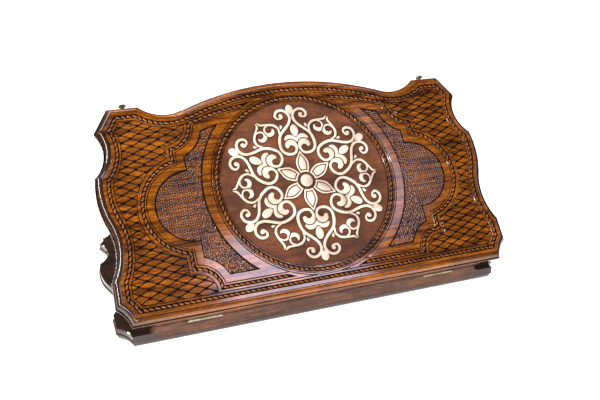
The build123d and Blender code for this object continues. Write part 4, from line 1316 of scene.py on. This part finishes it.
def turned(profile, steps):
    """A closed solid of revolution from (radius, height) points that start and end on the axis."""
    points, faces = [(0, 0, profile[0][1])], []
    for radius, height in profile[1:-1]:
        points += [(x, y, height) for x, y in circle(radius, steps)]
    points.append((0, 0, profile[-1][1]))
    rings = len(profile) - 2
    last = len(points) - 1
    for k in range(steps):
        n = (k + 1) % steps
        faces.append((0, 1 + n, 1 + k))
        for ring in range(rings - 1):
            a, b = 1 + ring * steps + k, 1 + ring * steps + n
            faces.append((a, b, b + steps, a + steps))
        top = 1 + (rings - 1) * steps
        faces.append((top + k, top + n, last))
    return points, faces


def checker_mesh():
    """One checker, standing on its lower face."""
    half = [(9.6, 1.0), (10.4, 0.95), (11.0, 0.35), (11.7, 0.05), (12.5, 0.3), (13.0, 0.75),
            (13.7, 0.75), (14.3, 0.15), (15.4, 0.0), (16.3, 0.35), (16.85, 1.1), (CHECKER_R, 2.2)]
    lower = [(0, 1.0)] + half
    upper = [(r, CHECKER_THICK - h) for r, h in reversed(half)] + [(0, CHECKER_THICK - 1.0)]
    points, faces = turned(lower + upper, TURNED_STEPS)
    return mesh_of("checker", points, faces, 30)


def stamping_tree(name):
    """Sets a mesh object at every point of another mesh, facing its normal or not."""
    tree, given = new_tree(name, [
        ("Stamp", "NodeSocketObject", None), ("Material", "NodeSocketMaterial", None),
    ])
    info = add(tree, "GeometryNodeObjectInfo", {"Object": given["Stamp"]})
    way = add(tree, "GeometryNodeInputNamedAttribute", {"Name": "way"}, data_type="FLOAT_VECTOR")
    facing = add(tree, "FunctionNodeAlignRotationToVector", {"Vector": way}, axis="Z")
    points = add(tree, "GeometryNodeMeshToPoints", {"Mesh": given["Geometry"]})
    placed = add(tree, "GeometryNodeInstanceOnPoints",
                 {"Points": points, "Instance": info.outputs["Geometry"], "Rotation": facing})
    finished(tree, placed, given["Material"])
    return tree


def points_mesh(places, ways=None):
    """A mesh of loose points, with the way each one faces."""
    mesh = bpy.data.meshes.new("places")
    mesh.from_pydata([tuple(p) for p in places], [], [])
    ways = ways or [(0, 0, 1)] * len(places)
    flat = np.array(ways, np.float32).ravel()
    mesh.attributes.new("way", "FLOAT_VECTOR", "POINT").data.foreach_set("vector", flat)
    return mesh


def stamped(tree, mesh, places, material, ways=None):
    """Copies of one mesh at many places, as one plain mesh."""
    stamp = bpy.data.objects.new("stamp", mesh)
    made = grow(tree, points_mesh(places, ways), stamp=stamp, material=material)
    bpy.data.objects.remove(stamp)
    return made


def checker_places(side):
    """Fifteen checkers in piles of two at one end of the base."""
    places = []
    for k in range(CHECKERS_EACH):
        pile, level = divmod(k, 2)
        row, column = divmod(pile, 2)
        x = side * (PILE_X - column * CHECKER_PITCH)
        places.append((x, PILE_Y - row * CHECKER_PITCH, FIELD_TOP_Z + level * CHECKER_THICK))
    return places


STAMPING = stamping_tree("stamping")
for node, side, material, slot in (("light_checkers", -1, PALE_CHECKER, "light_checker"),
                                   ("dark_checkers", 1, DARK_CHECKER, "dark_checker")):
    made = stamped(STAMPING, checker_mesh(), checker_places(side), material)
    piece(f"turned_{node}", made, "base", [node])

# %% [markdown]
# ## Dice
# A die is a block with rounded edges and drilled, painted pips. Opposite faces add up to seven. The pips
# are one small turned dot, which the same tree sets on the faces.

# %% Dice with pips
DIE = 12.0
PIP_R = 1.1
PIP_STEP = 3.1
DICE_PLACES = ((-214.0, -62.0, 14.0), (-188.0, -72.0, -31.0))
PIP_CORNERS = [(-1, -1), (1, 1), (-1, 1), (1, -1)]
PIP_PATTERNS = {
    1: [(0, 0)],
    2: [(-1, -1), (1, 1)],
    3: [(-1, -1), (0, 0), (1, 1)],
    4: PIP_CORNERS,
    5: PIP_CORNERS + [(0, 0)],
    6: PIP_CORNERS + [(-1, 0), (1, 0)],
}
PIP_PROFILE = [(0, -0.3), (PIP_R * 0.7, -0.3), (PIP_R, 0.0), (PIP_R * 0.8, 0.04), (0, 0.05)]
PIP_STEPS = 12
DIE_ROUND, DIE_SEGMENTS = 1.4, 4
PIP_SUNK = 0.02
DIE_FACES = {1: (0, 0, -1), 6: (0, 0, 1), 2: (0, -1, 0), 5: (0, 1, 0), 3: (-1, 0, 0), 4: (1, 0, 0)}


def rounded_block(size, radius, segments):
    """A block with rounded edges and corners."""
    work = bmesh.new()
    bmesh.ops.create_cube(work, size=size)
    bmesh.ops.bevel(work, geom=work.edges, offset=radius, segments=segments, profile=0.5, affect="EDGES")
    mesh = bpy.data.meshes.new("block")
    work.to_mesh(mesh)
    work.free()
    mesh.shade_smooth()
    mesh.set_sharp_from_angle(angle=math.radians(35))
    return mesh


def die_place(x, y, turn):
    """Where a die lies."""
    return Matrix.Translation((x, y, FIELD_TOP_Z + DIE / 2)) @ Matrix.Rotation(math.radians(turn), 4, "Z")


pip_places, pip_ways, blocks = [], [], bmesh.new()
for x, y, turn in DICE_PLACES:
    lie = die_place(x, y, turn)
    block = rounded_block(DIE, DIE_ROUND, DIE_SEGMENTS)
    block.transform(lie)
    blocks.from_mesh(block)
    for count, way in DIE_FACES.items():
        normal = Vector(way)
        first = normal.orthogonal().normalized()
        second = normal.cross(first)
        for u, v in PIP_PATTERNS[count]:
            spot = normal * (DIE / 2 - PIP_SUNK) + first * u * PIP_STEP + second * v * PIP_STEP
            pip_places.append(lie @ spot)
            pip_ways.append(tuple(lie.to_3x3() @ normal))
dice_mesh = bpy.data.meshes.new("dice")
blocks.to_mesh(dice_mesh)
blocks.free()
dice_mesh.shade_smooth()
dice_mesh.set_sharp_from_angle(angle=math.radians(35))
dice_mesh.materials.append(IVORY)
piece("rounded_dice", dice_mesh, "base", ["dice"])
pip_points, pip_faces = turned(PIP_PROFILE, PIP_STEPS)
pips = stamped(STAMPING, mesh_of("pip", pip_points, pip_faces, 40), pip_places, PIP, pip_ways)
piece("dice_pips", pips, "base", ())

# %% [markdown]
# ## The CAD nodes that stay
# Rails, field, points, disc and metalwork already have the right shape, so they keep their CAD meshes
# and only get their finish. The grain of a side rail runs along y, and on the lid it leans with the lid.

# %% Finishes of the CAD nodes
def finish_node(name, material):
    """Gives a CAD node its material."""
    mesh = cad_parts[name].data
    mesh.materials.clear()
    mesh.materials.append(material)


for half in PLACES:
    side = RAIL_SIDE if half == "base" else RAIL_LID_SIDE
    for part, material in (("front_rail", RAIL), ("back_rail", RAIL), ("left_rail", side),
                           ("right_rail", side), ("medallion_disc", DISC), ("left_end_block", END_WOOD),
                           ("right_end_block", END_WOOD), ("field", FIELD), ("light_points", PALE_POINT),
                           ("dark_points", DARK_POINT), ("hinge_screws", BRASS)):
        finish_node(f"{half}_{part}", material)
for side in ("left", "right"):
    for part in ("hinge_base_leaf", "hinge_lid_leaf", "hinge_pin", "hook", "hook_screw"):
        finish_node(f"{side}_{part}", BRASS if "hinge" in part else BROWNED)
    finish_node(f"lid_{side}_peg", BROWNED)

# %% [markdown]
# ## Camera
# The camera stands where the perspective of the picture puts it: in front, to the left and above.

# %% Camera
LENS_MM = 46.454
camera_data = bpy.data.cameras.new("camera")
camera_data.sensor_width = 36.0
camera_data.lens = LENS_MM
camera_data.clip_end = 200.0
camera = bpy.data.objects.new("camera", camera_data)
camera.location = (-0.3859, -1.0376, 0.6351)
camera.rotation_euler = Euler([math.radians(a) for a in (64.536, -1.007, -20.859)])
scene.collection.objects.link(camera)
scene.camera = camera

# %% [markdown]
# ## Floor and lights
# The board stands on plain white. Lacquer mirrors whatever is round it, so what it reflects is arranged:
# the wide floor is left out of reflections, and only a sheet of paper under the board shows in them. The
# surround is white to the camera and dim to the wood. Two soft boxes on the right give the broad glare,
# a long strip lights the left edge, and two larger boxes fill from behind and from the front.

# %% Floor and lights
FLOOR_SIZE = 160.0
FLOOR_DROP = 0.0004
PAPER_HALF_X, PAPER_FRONT_Y, PAPER_BACK_Y = 0.5, -0.28, 0.4
PAPER_DROP = 0.0002
GLARE_COLOUR = "#e4e2ff"
SURROUND_TO_WOOD, SURROUND_TO_CAMERA = 0.08, 1.0


def soft_box(name, place, target, size, power, colour="#ffffff"):
    """An area light turned towards a point."""
    data = bpy.data.lights.new(name, "AREA")
    data.shape = "RECTANGLE"
    data.size, data.size_y = size
    data.energy = power
    data.color = paint(colour)[:3]
    lamp = bpy.data.objects.new(name, data)
    lamp.location = place
    lamp.rotation_euler = (Vector(target) - Vector(place)).to_track_quat("-Z", "Y").to_euler()
    scene.collection.objects.link(lamp)


floor_material, floor_tree = new_material("white_floor")
floor_shader = add(floor_tree, "ShaderNodeBsdfPrincipled", {
    "Base Color": paint("#f4f4f4"), "Roughness": 0.9,
    "Emission Color": paint("#ffffff"), "Emission Strength": 0.9,
})
add(floor_tree, "ShaderNodeOutputMaterial", {"Surface": floor_shader})


def white_sheet(name, half_x, front_y, back_y, drop):
    """A flat white sheet a little below the board."""
    corners = [(-half_x, front_y, 0), (half_x, front_y, 0), (half_x, back_y, 0), (-half_x, back_y, 0)]
    mesh = mesh_of(name, corners, [(0, 1, 2, 3)])
    mesh.materials.append(floor_material)
    mesh.transform(Matrix.Translation((0, 0, -drop)))
    sheet = bpy.data.objects.new(name, mesh)
    scene.collection.objects.link(sheet)
    return sheet


floor = white_sheet("floor", FLOOR_SIZE / 2, -FLOOR_SIZE / 2, FLOOR_SIZE / 2, FLOOR_DROP)
floor.visible_glossy = False
paper = white_sheet("paper", PAPER_HALF_X, PAPER_FRONT_Y, PAPER_BACK_Y, PAPER_DROP)

LID_MIDDLE = (0.0, -0.08, 0.17)
GLARE_AT = (-0.06, -0.16, 0.08)
LEFT_EDGE = (-0.29, -0.08, 0.15)
RIGHT_RING = (0.14, -0.05, 0.15)
soft_box("glare_box", (0.33, -0.89, 1.08), GLARE_AT, (0.42, 0.34), 5.5, GLARE_COLOUR)
soft_box("glare_box_right", (0.57, -0.63, 1.1), RIGHT_RING, (0.24, 0.34), 1.5, GLARE_COLOUR)
soft_box("top_box", (-0.5, 0.5, 1.9), LID_MIDDLE, (1.4, 1.0), 29.0)
soft_box("left_strip", (-1.6, -0.1, 0.75), LEFT_EDGE, (2.6, 0.07), 48.0)
soft_box("front_fill", (-0.8, -2.0, 0.7), LID_MIDDLE, (1.4, 0.9), 34.0)
world = bpy.data.worlds.new("studio")
scene.world = world
world.use_nodes = True
world_tree = world.node_tree
world_tree.nodes.clear()
seen = add(world_tree, "ShaderNodeLightPath").outputs["Is Camera Ray"]
strength = add(world_tree, "ShaderNodeMapRange",
               {"Value": seen, "To Min": SURROUND_TO_WOOD, "To Max": SURROUND_TO_CAMERA})
surround = add(world_tree, "ShaderNodeBackground", {"Color": paint("#ffffff"), "Strength": strength})
add(world_tree, "ShaderNodeOutputWorld", {"Surface": surround})
scene.view_settings.view_transform = "Standard"
